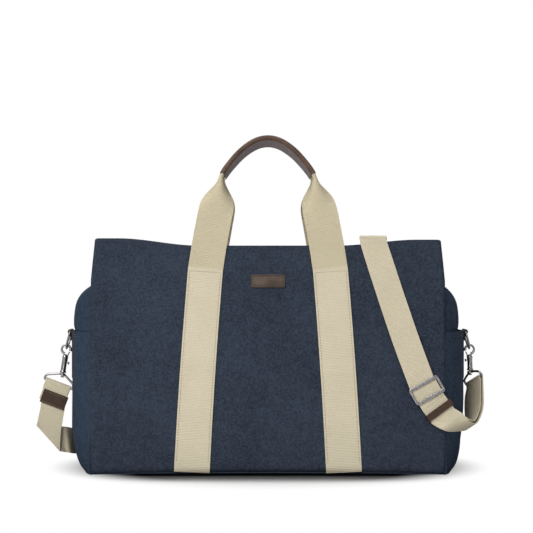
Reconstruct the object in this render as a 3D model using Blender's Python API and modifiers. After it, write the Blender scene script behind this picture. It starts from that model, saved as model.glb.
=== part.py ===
"""Canvas weekender bag: leaning canvas panels, bulging gussets with slip pockets,
a recessed zip top, two webbing hand straps with leather grips, and a clip-on
shoulder strap.

Metres, +Z up.  The origin is the middle of the base, on the floor.
+X is along the bag, -Y is its front.
"""

import math

import bmesh
import bpy
from mathutils import Matrix, Vector

# Driving dimensions of the shell
BASE_DEPTH = 0.230
PANEL_WIDTH = 0.502
PANEL_TOP_CORNER = 0.333
PANEL_TOP_MIDDLE = 0.325
PANEL_LEAN = math.atan(0.1717)
CANVAS = 0.002
GAP = 0.0004
BASE_TOP = 0.002
BOARD_THICKNESS = 0.0025
LINING_THICKNESS = 0.001

# Gussets and end pockets
SEAM_X = 0.2480
BULGE_POWER = 2.4
POCKET_HEIGHT = 0.200
POCKET_X = 0.2865
POCKET_REACH = 0.93
POCKET_POWER = 3.2
POCKET_STAND_OFF = 0.0042

# Zip closure
ZIP_LEVEL = 0.2675
FLAP_HALF_LENGTH = 0.2280
FLAP_EDGE_Y = 0.0655
FLAP_FREE_Y = 0.0160
TAPE_OUTER_Y = 0.0260
TAPE_INNER_Y = 0.0046
TAPE_THICKNESS = 0.001
TEETH_INNER_Y = 0.0012
TOOTH_PITCH = 0.012
TEETH_HEIGHT = 0.0032
SLIDER_PARK_X = 0.2370
SLIDER_LENGTH = 0.0110

# Hand straps
WEB_WIDTH = 0.050
WEB_THICKNESS = 0.0016
LEG_X_BOTTOM = 0.1068
LEG_X_HINGE = 0.0892
HINGE_Z = 0.289
HINGE_OUT = 0.0022
HANDLE_TOP = 0.4825
HANDLE_LEAN = 0.21
FOLD_RADIUS = 0.0015
GRIP_LEATHER = 0.0012
GRIP_DEPTH = 0.0185

# Shoulder strap and its fittings
STRAP_WIDTH = 0.038
STRAP_THICKNESS = 0.0018
WIRE = 0.0030
RING_WIDTH = 0.026
RING_DROP = 0.026
RING_PIVOT_X = 0.2912
RING_PIVOT_Z = 0.1980
RING_TILT = math.radians(15)
EYE_RADIUS = 0.0066
EYE_WIRE = 0.0030
BARREL_RADIUS = 0.0036
BARREL_BORE = 0.0024
BAIL_WIRE = 0.0028
BUCKLE_LENGTH = 0.0260
BUCKLE_WIDTH = 0.0466
KEEPER_LENGTH = 0.0100

# Finishes: linear colour, roughness, metallic
FINISHES = {
    "canvas": ((0.026, 0.042, 0.080), 0.92, 0.0),
    "canvas_end": ((0.030, 0.050, 0.098), 0.92, 0.0),
    "board": ((0.10, 0.09, 0.08), 0.85, 0.0),
    "lining": ((0.20, 0.19, 0.17), 0.85, 0.0),
    "webbing": ((0.58, 0.52, 0.38), 0.85, 0.0),
    "leather": ((0.055, 0.026, 0.016), 0.55, 0.0),
    "nickel": ((0.42, 0.41, 0.42), 0.32, 1.0),
    "zip_tape": ((0.020, 0.028, 0.048), 0.90, 0.0),
}

AXIS_X = Vector((1, 0, 0))
AXIS_Y = Vector((0, 1, 0))
AXIS_Z = Vector((0, 0, 1))
LEFT, RIGHT = -1, 1
FRONT, BACK = -1, 1


# Scene helpers
def clear_scene():
    for thing in list(bpy.data.objects):
        bpy.data.objects.remove(thing, do_unlink=True)


def new_collection(name):
    group = bpy.data.collections.new(name)
    bpy.context.scene.collection.children.link(group)
    return group


def make_finishes():
    made = {}
    for name, (colour, roughness, metallic) in FINISHES.items():
        finish = bpy.data.materials.new(name)
        finish.use_nodes = True
        shader = finish.node_tree.nodes["Principled BSDF"]
        shader.inputs["Base Color"].default_value = (*colour, 1.0)
        shader.inputs["Roughness"].default_value = roughness
        shader.inputs["Metallic"].default_value = metallic
        made[name] = finish
    return made


def add_part(name, mesh, finish, parent=None):
    """Put a mesh given in world coordinates into the bag's collection."""
    part = bpy.data.objects.new(name, mesh)
    BAG.objects.link(part)
    material = FINISH[finish].copy()
    material.name = name + "_" + finish
    mesh.materials.clear()
    mesh.materials.append(material)
    if parent is not None:
        mesh.transform(parent.matrix_world.inverted())
        part.parent = parent
    return part


def add_pivot(name, position, parent=None):
    """An empty on a joint's axis, which carries the pieces that turn or slide there."""
    pivot = bpy.data.objects.new(name, None)
    pivot.empty_display_size = 0.02
    BAG.objects.link(pivot)
    pivot.matrix_world = Matrix.Translation(position)
    bpy.context.view_layer.update()
    if parent is not None:
        pivot.parent = parent
        pivot.matrix_parent_inverse = parent.matrix_world.inverted()
        bpy.context.view_layer.update()
    return pivot


def grid_mesh(name, columns, rows, place):
    """A grid whose corner (u, v), each from 0 to 1, is moved to place(u, v)."""
    form = bmesh.new()
    bmesh.ops.create_grid(form, x_segments=columns, y_segments=rows, size=0.5)
    for corner in form.verts:
        corner.co = place(corner.co.x + 0.5, corner.co.y + 0.5)
    mesh = bpy.data.meshes.new(name)
    form.to_mesh(mesh)
    form.free()
    return mesh


def add_sheet(name, columns, rows, place, thickness, finish, parent=None, offset=-1):
    """A sheet of even thickness, with its outer side where du x dv points."""
    part = add_part(name, grid_mesh(name, columns, rows, place), finish, parent)
    solid = part.modifiers.new("thickness", "SOLIDIFY")
    solid.thickness = thickness
    solid.offset = offset
    part.data.shade_smooth()
    part.data.set_sharp_from_angle(angle=math.radians(35))
    return part


def curve_mesh(curve):
    """The welded mesh of a curve, which is then removed."""
    holder = bpy.data.objects.new(curve.name + "_curve", curve)
    bpy.context.scene.collection.objects.link(holder)
    bpy.context.view_layer.update()
    graph = bpy.context.evaluated_depsgraph_get()
    mesh = bpy.data.meshes.new_from_object(holder.evaluated_get(graph))
    bpy.data.objects.remove(holder, do_unlink=True)
    bpy.data.curves.remove(curve)
    form = bmesh.new()
    form.from_mesh(mesh)
    bmesh.ops.remove_doubles(form, verts=form.verts, dist=0.00001)
    bmesh.ops.recalc_face_normals(form, faces=form.faces)
    form.to_mesh(mesh)
    form.free()
    return mesh


def outline_mesh(name, points, thickness):
    """A flat outline in the XY plane, thickness deep about z = 0."""
    curve = bpy.data.curves.new(name, "CURVE")
    curve.dimensions = "2D"
    curve.fill_mode = "BOTH"
    curve.extrude = thickness / 2
    spline = curve.splines.new("POLY")
    spline.points.add(len(points) - 1)
    for point, (x, y) in zip(spline.points, points):
        point.co = (x, y, 0, 1)
    spline.use_cyclic_u = True
    return curve_mesh(curve)


def wire_mesh(name, points, diameter, cyclic=False, sides=2):
    """A round wire through points."""
    curve = bpy.data.curves.new(name, "CURVE")
    curve.dimensions = "3D"
    curve.bevel_depth = diameter / 2
    curve.bevel_resolution = sides
    curve.use_fill_caps = True
    spline = curve.splines.new("POLY")
    spline.points.add(len(points) - 1)
    for point, place in zip(spline.points, points):
        point.co = (*place, 1)
    spline.use_cyclic_u = cyclic
    mesh = curve_mesh(curve)
    mesh.shade_smooth()
    return mesh


def box_mesh(name, low, high):
    """A box between two corners."""
    low, high = Vector(low), Vector(high)
    form = bmesh.new()
    bmesh.ops.create_cube(form, size=1.0)
    for corner in form.verts:
        corner.co = low + Vector(a * (b + 0.5) for a, b in zip(high - low, corner.co))
    mesh = bpy.data.meshes.new(name)
    form.to_mesh(mesh)
    form.free()
    return mesh


def rod_mesh(name, start, end, radius, segments=16):
    """A round rod between two points."""
    start, end = Vector(start), Vector(end)
    form = bmesh.new()
    bmesh.ops.create_cone(
        form,
        cap_ends=True,
        segments=segments,
        radius1=radius,
        radius2=radius,
        depth=(end - start).length,
    )
    turn = AXIS_Z.rotation_difference((end - start).normalized()).to_matrix().to_4x4()
    bmesh.ops.transform(form, verts=form.verts, matrix=Matrix.Translation((start + end) / 2) @ turn)
    mesh = bpy.data.meshes.new(name)
    form.to_mesh(mesh)
    form.free()
    return mesh


def combine(part, mesh, operation):
    """Cut a mesh from a part, or join it on."""
    tool = bpy.data.objects.new(part.name + "_" + operation.lower(), mesh)
    CUTTERS.objects.link(tool)
    tool.hide_render = True
    tool.display_type = "WIRE"
    if part.parent is not None:
        tool.matrix_world = Matrix.Identity(4)
    step = part.modifiers.new(operation.lower(), "BOOLEAN")
    step.operation = operation
    step.object = tool
    step.solver = "EXACT"


def smooth_path(points, steps):
    """Points of a Catmull-Rom curve, steps to each span."""
    points = [Vector(p) for p in points]
    ends = [2 * points[0] - points[1]] + points + [2 * points[-1] - points[-2]]
    path = []
    for a, b, c, d in zip(ends, ends[1:], ends[2:], ends[3:]):
        for i in range(steps):
            t = i / steps
            path.append(
                0.5 * (2 * b + (c - a) * t + (2 * a - 5 * b + 4 * c - d) * t**2
                       + (3 * b - a - 3 * c + d) * t**3)
            )
    path.append(points[-1])
    return path


def ease(t):
    t = min(max(t, 0.0), 1.0)
    return t * t * (3 - 2 * t)


# Places on the shell
def on_panel(side, x, up, out):
    """A point up the leaning front or back panel, out from its outer face."""
    reach = BASE_DEPTH / 2 - up * math.sin(PANEL_LEAN) + out * math.cos(PANEL_LEAN)
    return Vector((x, side * reach, up * math.cos(PANEL_LEAN) + out * math.sin(PANEL_LEAN)))


def on_panel_at(side, x, z, out):
    """The same, given the height."""
    return on_panel(side, x, (z - out * math.sin(PANEL_LEAN)) / math.cos(PANEL_LEAN), out)


def inside_depth(z):
    """Half the room between the two panels at a height."""
    return BASE_DEPTH / 2 - z * math.tan(PANEL_LEAN) - CANVAS / math.cos(PANEL_LEAN) - 2 * GAP


def panel_top(x):
    return PANEL_TOP_MIDDLE + (PANEL_TOP_CORNER - PANEL_TOP_MIDDLE) * ease((abs(x) - 0.105) / 0.105)


# Shell: panels, gussets, base, lining and end pockets
GUSSET_MIDDLE = [
    (0.2640, 0.0030), (0.2735, 0.0200), (0.2765, 0.0600), (0.2765, 0.1300), (0.2775, 0.2000),
    (0.2785, 0.2220), (0.2765, 0.2410), (0.2700, 0.2560), (0.2590, 0.2645), (0.2440, 0.2675),
    (0.2290, 0.2675),
]
GUSSET_SEAM = [
    (SEAM_X, 0.0030), (SEAM_X, 0.0200), (SEAM_X, 0.0600), (SEAM_X, 0.1300), (SEAM_X, 0.2000),
    (SEAM_X, 0.2220), (SEAM_X, 0.2380), (0.2475, 0.2500), (0.2450, 0.2610), (0.2400, 0.2665),
    (0.2290, 0.2675),
]
GUSSET_COLUMNS = [-1.0, -0.88, -0.72, -0.5, -0.32, -0.24, 0.0, 0.24, 0.32, 0.5, 0.72, 0.88, 1.0]
POCKET_ROWS = [0.0036, 0.0120, 0.0200, 0.0360, 0.0600, 0.0950, 0.1300, 0.1650, POCKET_HEIGHT]
NOTCH_SHARE = 0.25
NOTCH_X = (0.2535, 0.2500)


def bulge(share):
    """How far a gusset swells at a share of the way from its middle to a seam."""
    return 1 - abs(share) ** BULGE_POWER


def gusset_x(share, z):
    """A gusset's outer face below its shoulder, as a distance along X."""
    for (x0, z0), (x1, z1) in zip(GUSSET_MIDDLE, GUSSET_MIDDLE[1:]):
        if z <= z1:
            break
    middle = x0 + (x1 - x0) * (z - z0) / (z1 - z0)
    return SEAM_X + (middle - SEAM_X) * bulge(share)


def add_panel(name, side):
    def place(u, v):
        x = side * (0.5 - u) * PANEL_WIDTH
        low = BASE_TOP + 2 * GAP
        return on_panel_at(side, x, low + v * (panel_top(x) - low), 0)

    add_sheet(name, 12, 2, place, CANVAS, "canvas")


def add_gusset(name, end):
    columns = len(GUSSET_COLUMNS) - 1
    rows = len(GUSSET_MIDDLE) - 1

    def place(u, v):
        share = end * GUSSET_COLUMNS[round(u * columns)]
        middle = Vector(GUSSET_MIDDLE[round(v * rows)])
        seam = Vector(GUSSET_SEAM[round(v * rows)])
        x, z = seam.lerp(middle, bulge(share))
        from_top = rows - round(v * rows)
        if abs(share) < NOTCH_SHARE and from_top < len(NOTCH_X):
            x = NOTCH_X[-1 - from_top]
        return Vector((end * x, share * inside_depth(z), z))

    add_sheet(name, columns, rows, place, CANVAS, "canvas_end")


def add_end_pocket(name, end):
    def place(u, v):
        part = end * (2 * u - 1)
        share = part * POCKET_REACH
        z = POCKET_ROWS[round(v * (len(POCKET_ROWS) - 1))]
        close = gusset_x(share, z) + POCKET_STAND_OFF
        full = SEAM_X + (POCKET_X - SEAM_X) * (1 - abs(part) ** POCKET_POWER)
        x = close + max(full - close, 0) * ease((z - 0.004) / 0.060)
        return Vector((end * x, share * inside_depth(z), z))

    add_sheet(name, 12, len(POCKET_ROWS) - 1, place, CANVAS, "canvas_end")


def add_base():
    shares = [i / 6 - 1 for i in range(13)]
    depth = BASE_DEPTH / 2 - GAP
    end = [(gusset_x(s, BASE_TOP + GUSSET_MIDDLE[0][1]), s * depth) for s in shares]
    outline = end + [(-x, -y) for x, y in end]
    mesh = outline_mesh("base_panel", outline, BASE_TOP)
    mesh.transform(Matrix.Translation((0, 0, BASE_TOP / 2)))
    add_part("base_panel", mesh, "canvas")
    low = BASE_TOP + GAP
    board = box_mesh("base_board", (-0.236, -0.100, low), (0.236, 0.100, low + BOARD_THICKNESS))
    add_part("base_board", board, "board")


def add_lining():
    low = BASE_TOP + BOARD_THICKNESS + 3 * GAP
    high = ZIP_LEVEL - 0.0115
    spare = 0.004
    form = bmesh.new()
    bmesh.ops.create_cube(form, size=2.0)
    top = [f for f in form.faces if f.normal.z > 0.5]
    bmesh.ops.delete(form, geom=top, context="FACES_ONLY")
    for corner in form.verts:
        z = high if corner.co.z > 0 else low
        corner.co = (corner.co.x * 0.2400, corner.co.y * (inside_depth(z) - spare), z)
    mesh = bpy.data.meshes.new("lining")
    form.to_mesh(mesh)
    form.free()
    lining = add_part("lining", mesh, "lining")
    solid = lining.modifiers.new("thickness", "SOLIDIFY")
    solid.thickness = LINING_THICKNESS
    solid.offset = -1


# Zip closure between the collars
def add_zip_half(word, side, pivot):
    """One flap with its tape and its row of teeth, hinged along its sewn edge."""
    flap = box_mesh(
        word + "_zip_flap",
        (-FLAP_HALF_LENGTH, min(side * FLAP_EDGE_Y, side * FLAP_FREE_Y), ZIP_LEVEL - CANVAS),
        (FLAP_HALF_LENGTH, max(side * FLAP_EDGE_Y, side * FLAP_FREE_Y), ZIP_LEVEL),
    )
    add_part(word + "_zip_flap", flap, "canvas", pivot)
    tape_top = ZIP_LEVEL - CANVAS - GAP
    tape = box_mesh(
        word + "_zip_tape",
        (-FLAP_HALF_LENGTH, min(side * TAPE_OUTER_Y, side * TAPE_INNER_Y), tape_top - TAPE_THICKNESS),
        (FLAP_HALF_LENGTH, max(side * TAPE_OUTER_Y, side * TAPE_INNER_Y), tape_top),
    )
    add_part(word + "_zip_tape", tape, "zip_tape", pivot)
    root_y = TAPE_INNER_Y - GAP
    back_y = (root_y + TEETH_INNER_Y) / 2
    count = int(2 * FLAP_HALF_LENGTH / TOOTH_PITCH)
    outline = [(FLAP_HALF_LENGTH, side * root_y), (-FLAP_HALF_LENGTH, side * root_y)]
    for i in range(count):
        x = -FLAP_HALF_LENGTH + i * TOOTH_PITCH
        outline += [(x, side * back_y), (x + TOOTH_PITCH * 0.3, side * back_y)]
        outline.append((x + TOOTH_PITCH * 0.4, side * TEETH_INNER_Y))
        outline.append((x + TOOTH_PITCH * 0.9, side * TEETH_INNER_Y))
    outline.append((FLAP_HALF_LENGTH, side * back_y))
    teeth = outline_mesh(word + "_zip_teeth", outline, TEETH_HEIGHT)
    teeth.transform(Matrix.Translation((0, 0, tape_top - TAPE_THICKNESS / 2)))
    add_part(word + "_zip_teeth", teeth, "nickel", pivot)


def add_zip_end(name, end):
    """The fixed end of the zip: a tape with a slot where the slider parks."""
    inner, outer, slot_end = FLAP_HALF_LENGTH + 2 * GAP, 0.2490, 0.2455
    half, slot = 0.0125, 0.0030
    outline = [
        (inner, -half), (outer, -half), (outer, half), (inner, half),
        (inner, slot), (slot_end, slot), (slot_end, -slot), (inner, -slot),
    ]
    mesh = outline_mesh(name, [(end * x, y) for x, y in outline], TAPE_THICKNESS)
    level = ZIP_LEVEL - CANVAS - GAP - TAPE_THICKNESS / 2
    mesh.transform(Matrix.Translation((0, 0, level)))
    add_part(name, mesh, "zip_tape")


def add_zip_slider():
    """A slider of two plates and a post, with a pull that turns on its bridge."""
    middle = ZIP_LEVEL - CANVAS - GAP - TAPE_THICKNESS / 2
    reach = TEETH_HEIGHT / 2 + GAP
    plate, half_width, post = 0.0015, 0.0046, 0.0008
    x0, x1 = SLIDER_PARK_X - SLIDER_LENGTH / 2, SLIDER_PARK_X + SLIDER_LENGTH / 2
    carrier = add_pivot("zip_slider_path", (SLIDER_PARK_X, 0, middle))
    top = box_mesh("zip_slider", (x0, -half_width, middle + reach), (x1, half_width, middle + reach + plate))
    slider = add_part("zip_slider", top, "nickel", carrier)
    foot_low = (x0, -half_width, middle - reach - plate)
    bottom = box_mesh("slider_foot", foot_low, (x1, half_width, middle - reach))
    web = box_mesh(
        "slider_post",
        (SLIDER_PARK_X - 0.003, -post, middle - reach - plate / 2),
        (SLIDER_PARK_X + 0.003, post, middle + reach + plate / 2),
    )
    lug_z = middle + reach + plate
    pin_x = SLIDER_PARK_X
    lug_low, lug_high = lug_z - 0.0005, lug_z + 0.0030
    for mesh in (bottom, web):
        combine(slider, mesh, "UNION")
    for y in (-0.0028, 0.0028):
        lug_start = (pin_x - 0.0012, y - 0.0006, lug_low)
        lug = box_mesh("slider_lug", lug_start, (pin_x + 0.0012, y + 0.0006, lug_high))
        combine(slider, lug, "UNION")
    pivot_z = lug_z + 0.0018
    pivot = add_pivot("zip_pull_hinge", (pin_x, 0, pivot_z), carrier)
    neck, half = 0.0018, 0.0045
    outline = [
        (-0.0012, -neck), (0.0045, -neck), (0.0065, -half), (0.0140, -half), (0.0155, -half + 0.0015),
        (0.0155, half - 0.0015), (0.0140, half), (0.0065, half), (0.0045, neck), (-0.0012, neck),
    ]
    pull = outline_mesh("zip_pull", outline, 0.0014)
    pull.transform(Matrix.Translation((pin_x, 0, pivot_z)))
    add_part("zip_pull", pull, "nickel", pivot)


# Hand straps
LEG_LEAN = 0.0400
LEG_BEND = 0.0675
WEB_COLUMNS = [-0.0250, -0.0140, -0.0050, -0.0016, 0.0, 0.0016, 0.0050, 0.0140, 0.0250]
HANDLE_ROUTE = [
    (-LEG_X_HINGE, HINGE_Z + GAP), (-0.0843, 0.3250), (-0.0734, 0.3850), (-0.0690, 0.4150),
    (-0.0652, 0.4294), (-0.0520, 0.4487), (-0.0360, 0.4663), (-0.0180, 0.4785), (0.0, HANDLE_TOP),
]
ROUTE_STEPS = 2
GRIP_START = 4
COLLAR_CLEAR_Z = 0.335
FOLD_START_Z = 0.384
FOLD_END_Z = 0.430


def leg_x(z):
    """The middle of a sewn strap at a height."""
    return LEG_X_BOTTOM - LEG_LEAN * z - LEG_BEND * z * z


def add_sewn_strap(name, side, end):
    def place(u, v):
        z = BASE_TOP + 2 * GAP + v * (HINGE_Z - BASE_TOP - 3 * GAP)
        x = end * leg_x(z) + side * (0.5 - u) * WEB_WIDTH
        return on_panel_at(side, x, z, GAP + WEB_THICKNESS)

    add_sheet(name, 1, 6, place, WEB_THICKNESS, "webbing")


def handle_stations():
    """Points of the hand strap's middle line as (x, z), left leg to right leg."""
    half = smooth_path([(x, z, 0) for x, z in HANDLE_ROUTE], ROUTE_STEPS)
    return [(p.x, p.y) for p in half] + [(-p.x, p.y) for p in reversed(half[:-1])]


def handle_y(z):
    """How far the hand strap stands from the middle plane at a height."""
    out = GAP + WEB_THICKNESS / 2
    y = on_panel_at(BACK, 0, min(z, COLLAR_CLEAR_Z), out).y
    return y - HANDLE_LEAN * max(z - COLLAR_CLEAR_Z, 0)


def fold_section(width, angle, bend):
    """Across a strap folded lengthwise: sideways and backward place of a point."""
    if angle < 0.001:
        return width, 0.0
    radius = bend / angle
    turn = min(abs(width) / radius, angle)
    straight = max(abs(width) - bend, 0)
    sideways = radius * math.sin(turn) + straight * math.cos(angle)
    backward = radius * (1 - math.cos(turn)) + straight * math.sin(angle)
    return math.copysign(sideways, width), backward


def handle_frame(stations, i, side):
    """Place, sideways and backward directions of the hand strap at a station."""
    def point(k):
        x, z = stations[k]
        return Vector((x, side * handle_y(z), z))

    here = point(i)
    ahead = (point(min(i + 1, len(stations) - 1)) - point(max(i - 1, 0))).normalized()
    slope = (handle_y(here.z + 0.001) - handle_y(here.z - 0.001)) / 0.002
    backward = Vector((0, -side, slope)).normalized()
    across = backward.cross(ahead).normalized()
    level = AXIS_X if across.x > 0 else -AXIS_X
    if stations[i][1] < FOLD_START_Z:
        across = level.lerp(across, ease((here.z - COLLAR_CLEAR_Z) / (FOLD_START_Z - COLLAR_CLEAR_Z)))
    return here, across.normalized(), backward


def add_handle(word, side, pivot):
    stations = handle_stations()
    rows, columns = len(stations) - 1, len(WEB_COLUMNS) - 1
    tight = FOLD_RADIUS * math.pi / 2

    def web_place(u, v):
        here, across, backward = handle_frame(stations, round(v * rows), side)
        share = min(max((here.z - FOLD_START_Z) / (FOLD_END_Z - FOLD_START_Z), 0), 1)
        angle = math.pi / 2 * math.sin(math.pi / 2 * share)
        bend = WEB_WIDTH / 2 + (tight - WEB_WIDTH / 2) * ease(share)
        a, b = fold_section(WEB_COLUMNS[round(u * columns)], angle, bend)
        return here + across * a + backward * b

    add_sheet(word + "_handle_webbing", columns, rows, web_place, WEB_THICKNESS, "webbing", pivot, 0)

    first = GRIP_START * ROUTE_STEPS
    grip_rows = rows - 2 * first
    radius = FOLD_RADIUS + WEB_THICKNESS / 2 + 0.0003 + GRIP_LEATHER / 2
    bend = radius * math.pi / 2
    reach = bend + GRIP_DEPTH
    grip_columns = [-reach, -reach * 0.6, -bend, -bend * 0.6, 0.0, bend * 0.6, bend, reach * 0.6, reach]

    def grip_place(u, v):
        here, across, backward = handle_frame(stations, first + round(v * grip_rows), side)
        a, b = fold_section(grip_columns[round(u * (len(grip_columns) - 1))], math.pi / 2, bend)
        return here + across * a + backward * (b - radius + FOLD_RADIUS)

    columns = len(grip_columns) - 1
    add_sheet(word + "_grip", columns, grip_rows, grip_place, GRIP_LEATHER, "leather", pivot, 0)


# Trim
def add_patch():
    half_x, half_up, corner = 0.0245, 0.0095, 0.0020
    thickness, middle_z = 0.0014, 0.2730
    outline = []
    for x, y, start in ((1, 1, 0), (-1, 1, 90), (-1, -1, 180), (1, -1, 270)):
        for step in range(4):
            angle = math.radians(start + 30 * step)
            outline.append((
                x * (half_x - corner) + corner * math.cos(angle),
                y * (half_up - corner) + corner * math.sin(angle),
            ))
    mesh = outline_mesh("front_patch", outline, thickness)
    turn = Matrix.Rotation(math.pi / 2 - PANEL_LEAN, 4, "X")
    place = on_panel_at(FRONT, 0, middle_z, GAP + thickness / 2)
    mesh.transform(Matrix.Translation(place) @ turn)
    add_part("front_patch", mesh, "leather")


TAB_WIDTH = 0.0220
TAB_LEATHER = 0.0018
TAB_LOW = 0.1300


def add_ring_tab(name, end):
    """A leather strip sewn to the pocket, looped round the bar of its ring."""
    inner = POCKET_X + GAP + TAB_LEATHER / 2
    outer = inner + TAB_LEATHER + GAP
    radius = WIRE / 2 + GAP + TAB_LEATHER / 2
    profile = [(inner, TAB_LOW), (inner, 0.1600), (inner, RING_PIVOT_Z - 0.0060)]
    for step in range(9):
        angle = math.radians(200 - 30 * step)
        profile.append((
            RING_PIVOT_X + radius * math.cos(angle),
            RING_PIVOT_Z + radius * math.sin(angle),
        ))
    profile += [(outer, RING_PIVOT_Z - 0.0080), (outer, RING_PIVOT_Z - 0.0130)]

    def place(u, v):
        x, z = profile[round(v * (len(profile) - 1))]
        return Vector((end * x, end * (u - 0.5) * TAB_WIDTH, z))

    add_sheet(name, 1, len(profile) - 1, place, TAB_LEATHER, "leather", None, 0)


def add_d_ring(name, end, pivot):
    """A wire D hanging from its straight bar, tilted out from the bag."""
    corner = RING_WIDTH / 2
    loop = [(-corner, 0.0), (-corner * 0.5, 0.0), (corner * 0.5, 0.0), (corner, 0.0)]
    drop = RING_DROP - 0.0100
    for step in range(1, 12):
        angle = math.pi * step / 12
        loop.append((corner * math.cos(angle), -0.0100 - drop * math.sin(angle)))
    outward = end * math.sin(RING_TILT)
    points = [
        (end * RING_PIVOT_X - outward * z, y, RING_PIVOT_Z + math.cos(RING_TILT) * z) for y, z in loop
    ]
    add_part(name, wire_mesh(name, points, WIRE, True), "nickel", pivot)


# Swivel hooks: an eye on a hollow barrel, with a sprung bolt that closes the eye
HOOK_EYE = {LEFT: Vector((-0.2985, 0, 0.1713)), RIGHT: Vector((0.2985, 0, 0.1713))}
HOOK_BASE = {LEFT: Vector((-0.3037, 0, 0.1350)), RIGHT: Vector((0.2994, 0, 0.1385))}
STEM_RADIUS = 0.0016
EYE_GAP_FROM, EYE_GAP_TO = -100, -14


def hook_frame(end):
    """Barrel axis and the direction of the thumb knob, square to it."""
    axis = (HOOK_EYE[end] - HOOK_BASE[end]).normalized()
    knob = -end * AXIS_X
    knob = (knob - axis * knob.dot(axis)).normalized()
    return axis, knob


def add_hook(word, end):
    axis, knob = hook_frame(end)
    eye, base = HOOK_EYE[end], HOOK_BASE[end]
    pivot = add_pivot(word + "_hook_swivel", base)
    low = base + axis * 0.0022
    neck = eye - axis * (EYE_RADIUS + EYE_WIRE / 2 - 0.0008)
    barrel = add_part(word + "_hook", rod_mesh(word + "_hook", low, neck, BARREL_RADIUS), "nickel", pivot)
    points = []
    for step in range(17):
        angle = math.radians(EYE_GAP_TO + (360 + EYE_GAP_FROM - EYE_GAP_TO) * step / 16)
        points.append(eye + knob * EYE_RADIUS * math.cos(angle) + axis * EYE_RADIUS * math.sin(angle))
    combine(barrel, wire_mesh(word + "_eye", points, EYE_WIRE), "UNION")
    stem_foot = base - axis * 0.0050
    combine(barrel, rod_mesh(word + "_stem", stem_foot, low + axis * 0.0008, STEM_RADIUS), "UNION")
    button = rod_mesh(word + "_button", stem_foot, stem_foot + axis * 0.0016, 0.0028)
    combine(barrel, button, "UNION")
    bore_low = low + axis * 0.0015
    combine(barrel, rod_mesh(word + "_bore", bore_low, neck + axis * 0.0002, BARREL_BORE), "DIFFERENCE")
    slot_low = low + axis * 0.0055
    slot_length = (neck - slot_low).dot(axis) + 0.0020
    slot = box_mesh(word + "_slot", (0.0, -0.0009, 0.0), (0.0080, 0.0009, slot_length))
    turn = Matrix((knob, axis.cross(knob), axis)).transposed().to_4x4()
    slot.transform(Matrix.Translation(slot_low) @ turn)
    combine(barrel, slot, "DIFFERENCE")
    add_bolt(word, end, pivot, bore_low, neck, axis, knob)


def add_bolt(word, end, pivot, bore_low, neck, axis, knob):
    """The bolt slides down its barrel against a spring and opens the eye."""
    carrier = add_pivot(word + "_bolt_path", bore_low, pivot)
    foot = bore_low + axis * 0.0090
    head = neck - axis * 0.0006
    shaft = rod_mesh(word + "_bolt", foot, head, BARREL_BORE - 0.0005, 12)
    bolt = add_part(word + "_bolt", shaft, "nickel", carrier)
    knob_foot = foot + axis * 0.0010
    thumb = rod_mesh(word + "_thumb", knob_foot, knob_foot + knob * 0.0062, 0.0006, 8)
    combine(bolt, thumb, "UNION")
    cap = rod_mesh(word + "_cap", knob_foot + knob * 0.0050, knob_foot + knob * 0.0070, 0.0016, 12)
    combine(bolt, cap, "UNION")
    reach = knob * 0.0033
    finger = rod_mesh(word + "_finger", knob_foot + reach, neck + axis * 0.0042 + reach, 0.0007, 8)
    combine(bolt, finger, "UNION")
    side = axis.cross(knob)
    coil, turns, radius = [], 5, 0.0014
    room = 0.0082
    for step in range(turns * 8 + 1):
        angle = 2 * math.pi * step / 8
        height = 0.0006 + (room - 0.0012) * step / (turns * 8)
        coil.append(bore_low + axis * height + (knob * math.cos(angle) + side * math.sin(angle)) * radius)
    spring = wire_mesh(word + "_bolt_spring", coil, 0.0005, False, 1)
    add_part(word + "_bolt_spring", spring, "nickel", pivot)


# Bails, which join the hooks to the strap
BAIL_ACROSS = {LEFT: Vector((0.934, 0, -0.357)), RIGHT: Vector((0.403, -0.829, 0.389)).normalized()}
BAIL_CENTRE = {LEFT: Vector((-0.3103, 0, 0.1200)), RIGHT: Vector((0.3055, 0.0000, 0.1255))}
BAIL_HALF = 0.0216
BAIL_SHOULDER = 0.0085


def add_bail(word, end):
    axis, _ = hook_frame(end)
    base, across, centre = HOOK_BASE[end], BAIL_ACROSS[end], BAIL_CENTRE[end]
    rise = (base - centre)
    rise = (rise - across * rise.dot(across)).normalized()
    plate = rod_mesh(word + "_bail", base - axis * 0.0020, base + axis * 0.0008, 0.0044)
    bail = add_part(word + "_bail", plate, "nickel")
    left, right = centre - across * BAIL_HALF, centre + across * BAIL_HALF
    corner = across * 0.0030
    route = [
        base - across * 0.0034 - axis * 0.0006, left + rise * BAIL_SHOULDER + corner,
        left + rise * (BAIL_SHOULDER - 0.0035), left + rise * 0.0020, left + corner * 0.7,
        centre, right - corner * 0.7, right + rise * 0.0020,
        right + rise * (BAIL_SHOULDER - 0.0035), right + rise * BAIL_SHOULDER - corner,
        base + across * 0.0034 - axis * 0.0006,
    ]
    combine(bail, wire_mesh(word + "_bail_wire", route, BAIL_WIRE), "UNION")
    hole = rod_mesh(word + "_bail_hole", base - axis * 0.0040, base + axis * 0.0030, STEM_RADIUS + GAP)
    combine(bail, hole, "DIFFERENCE")


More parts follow.
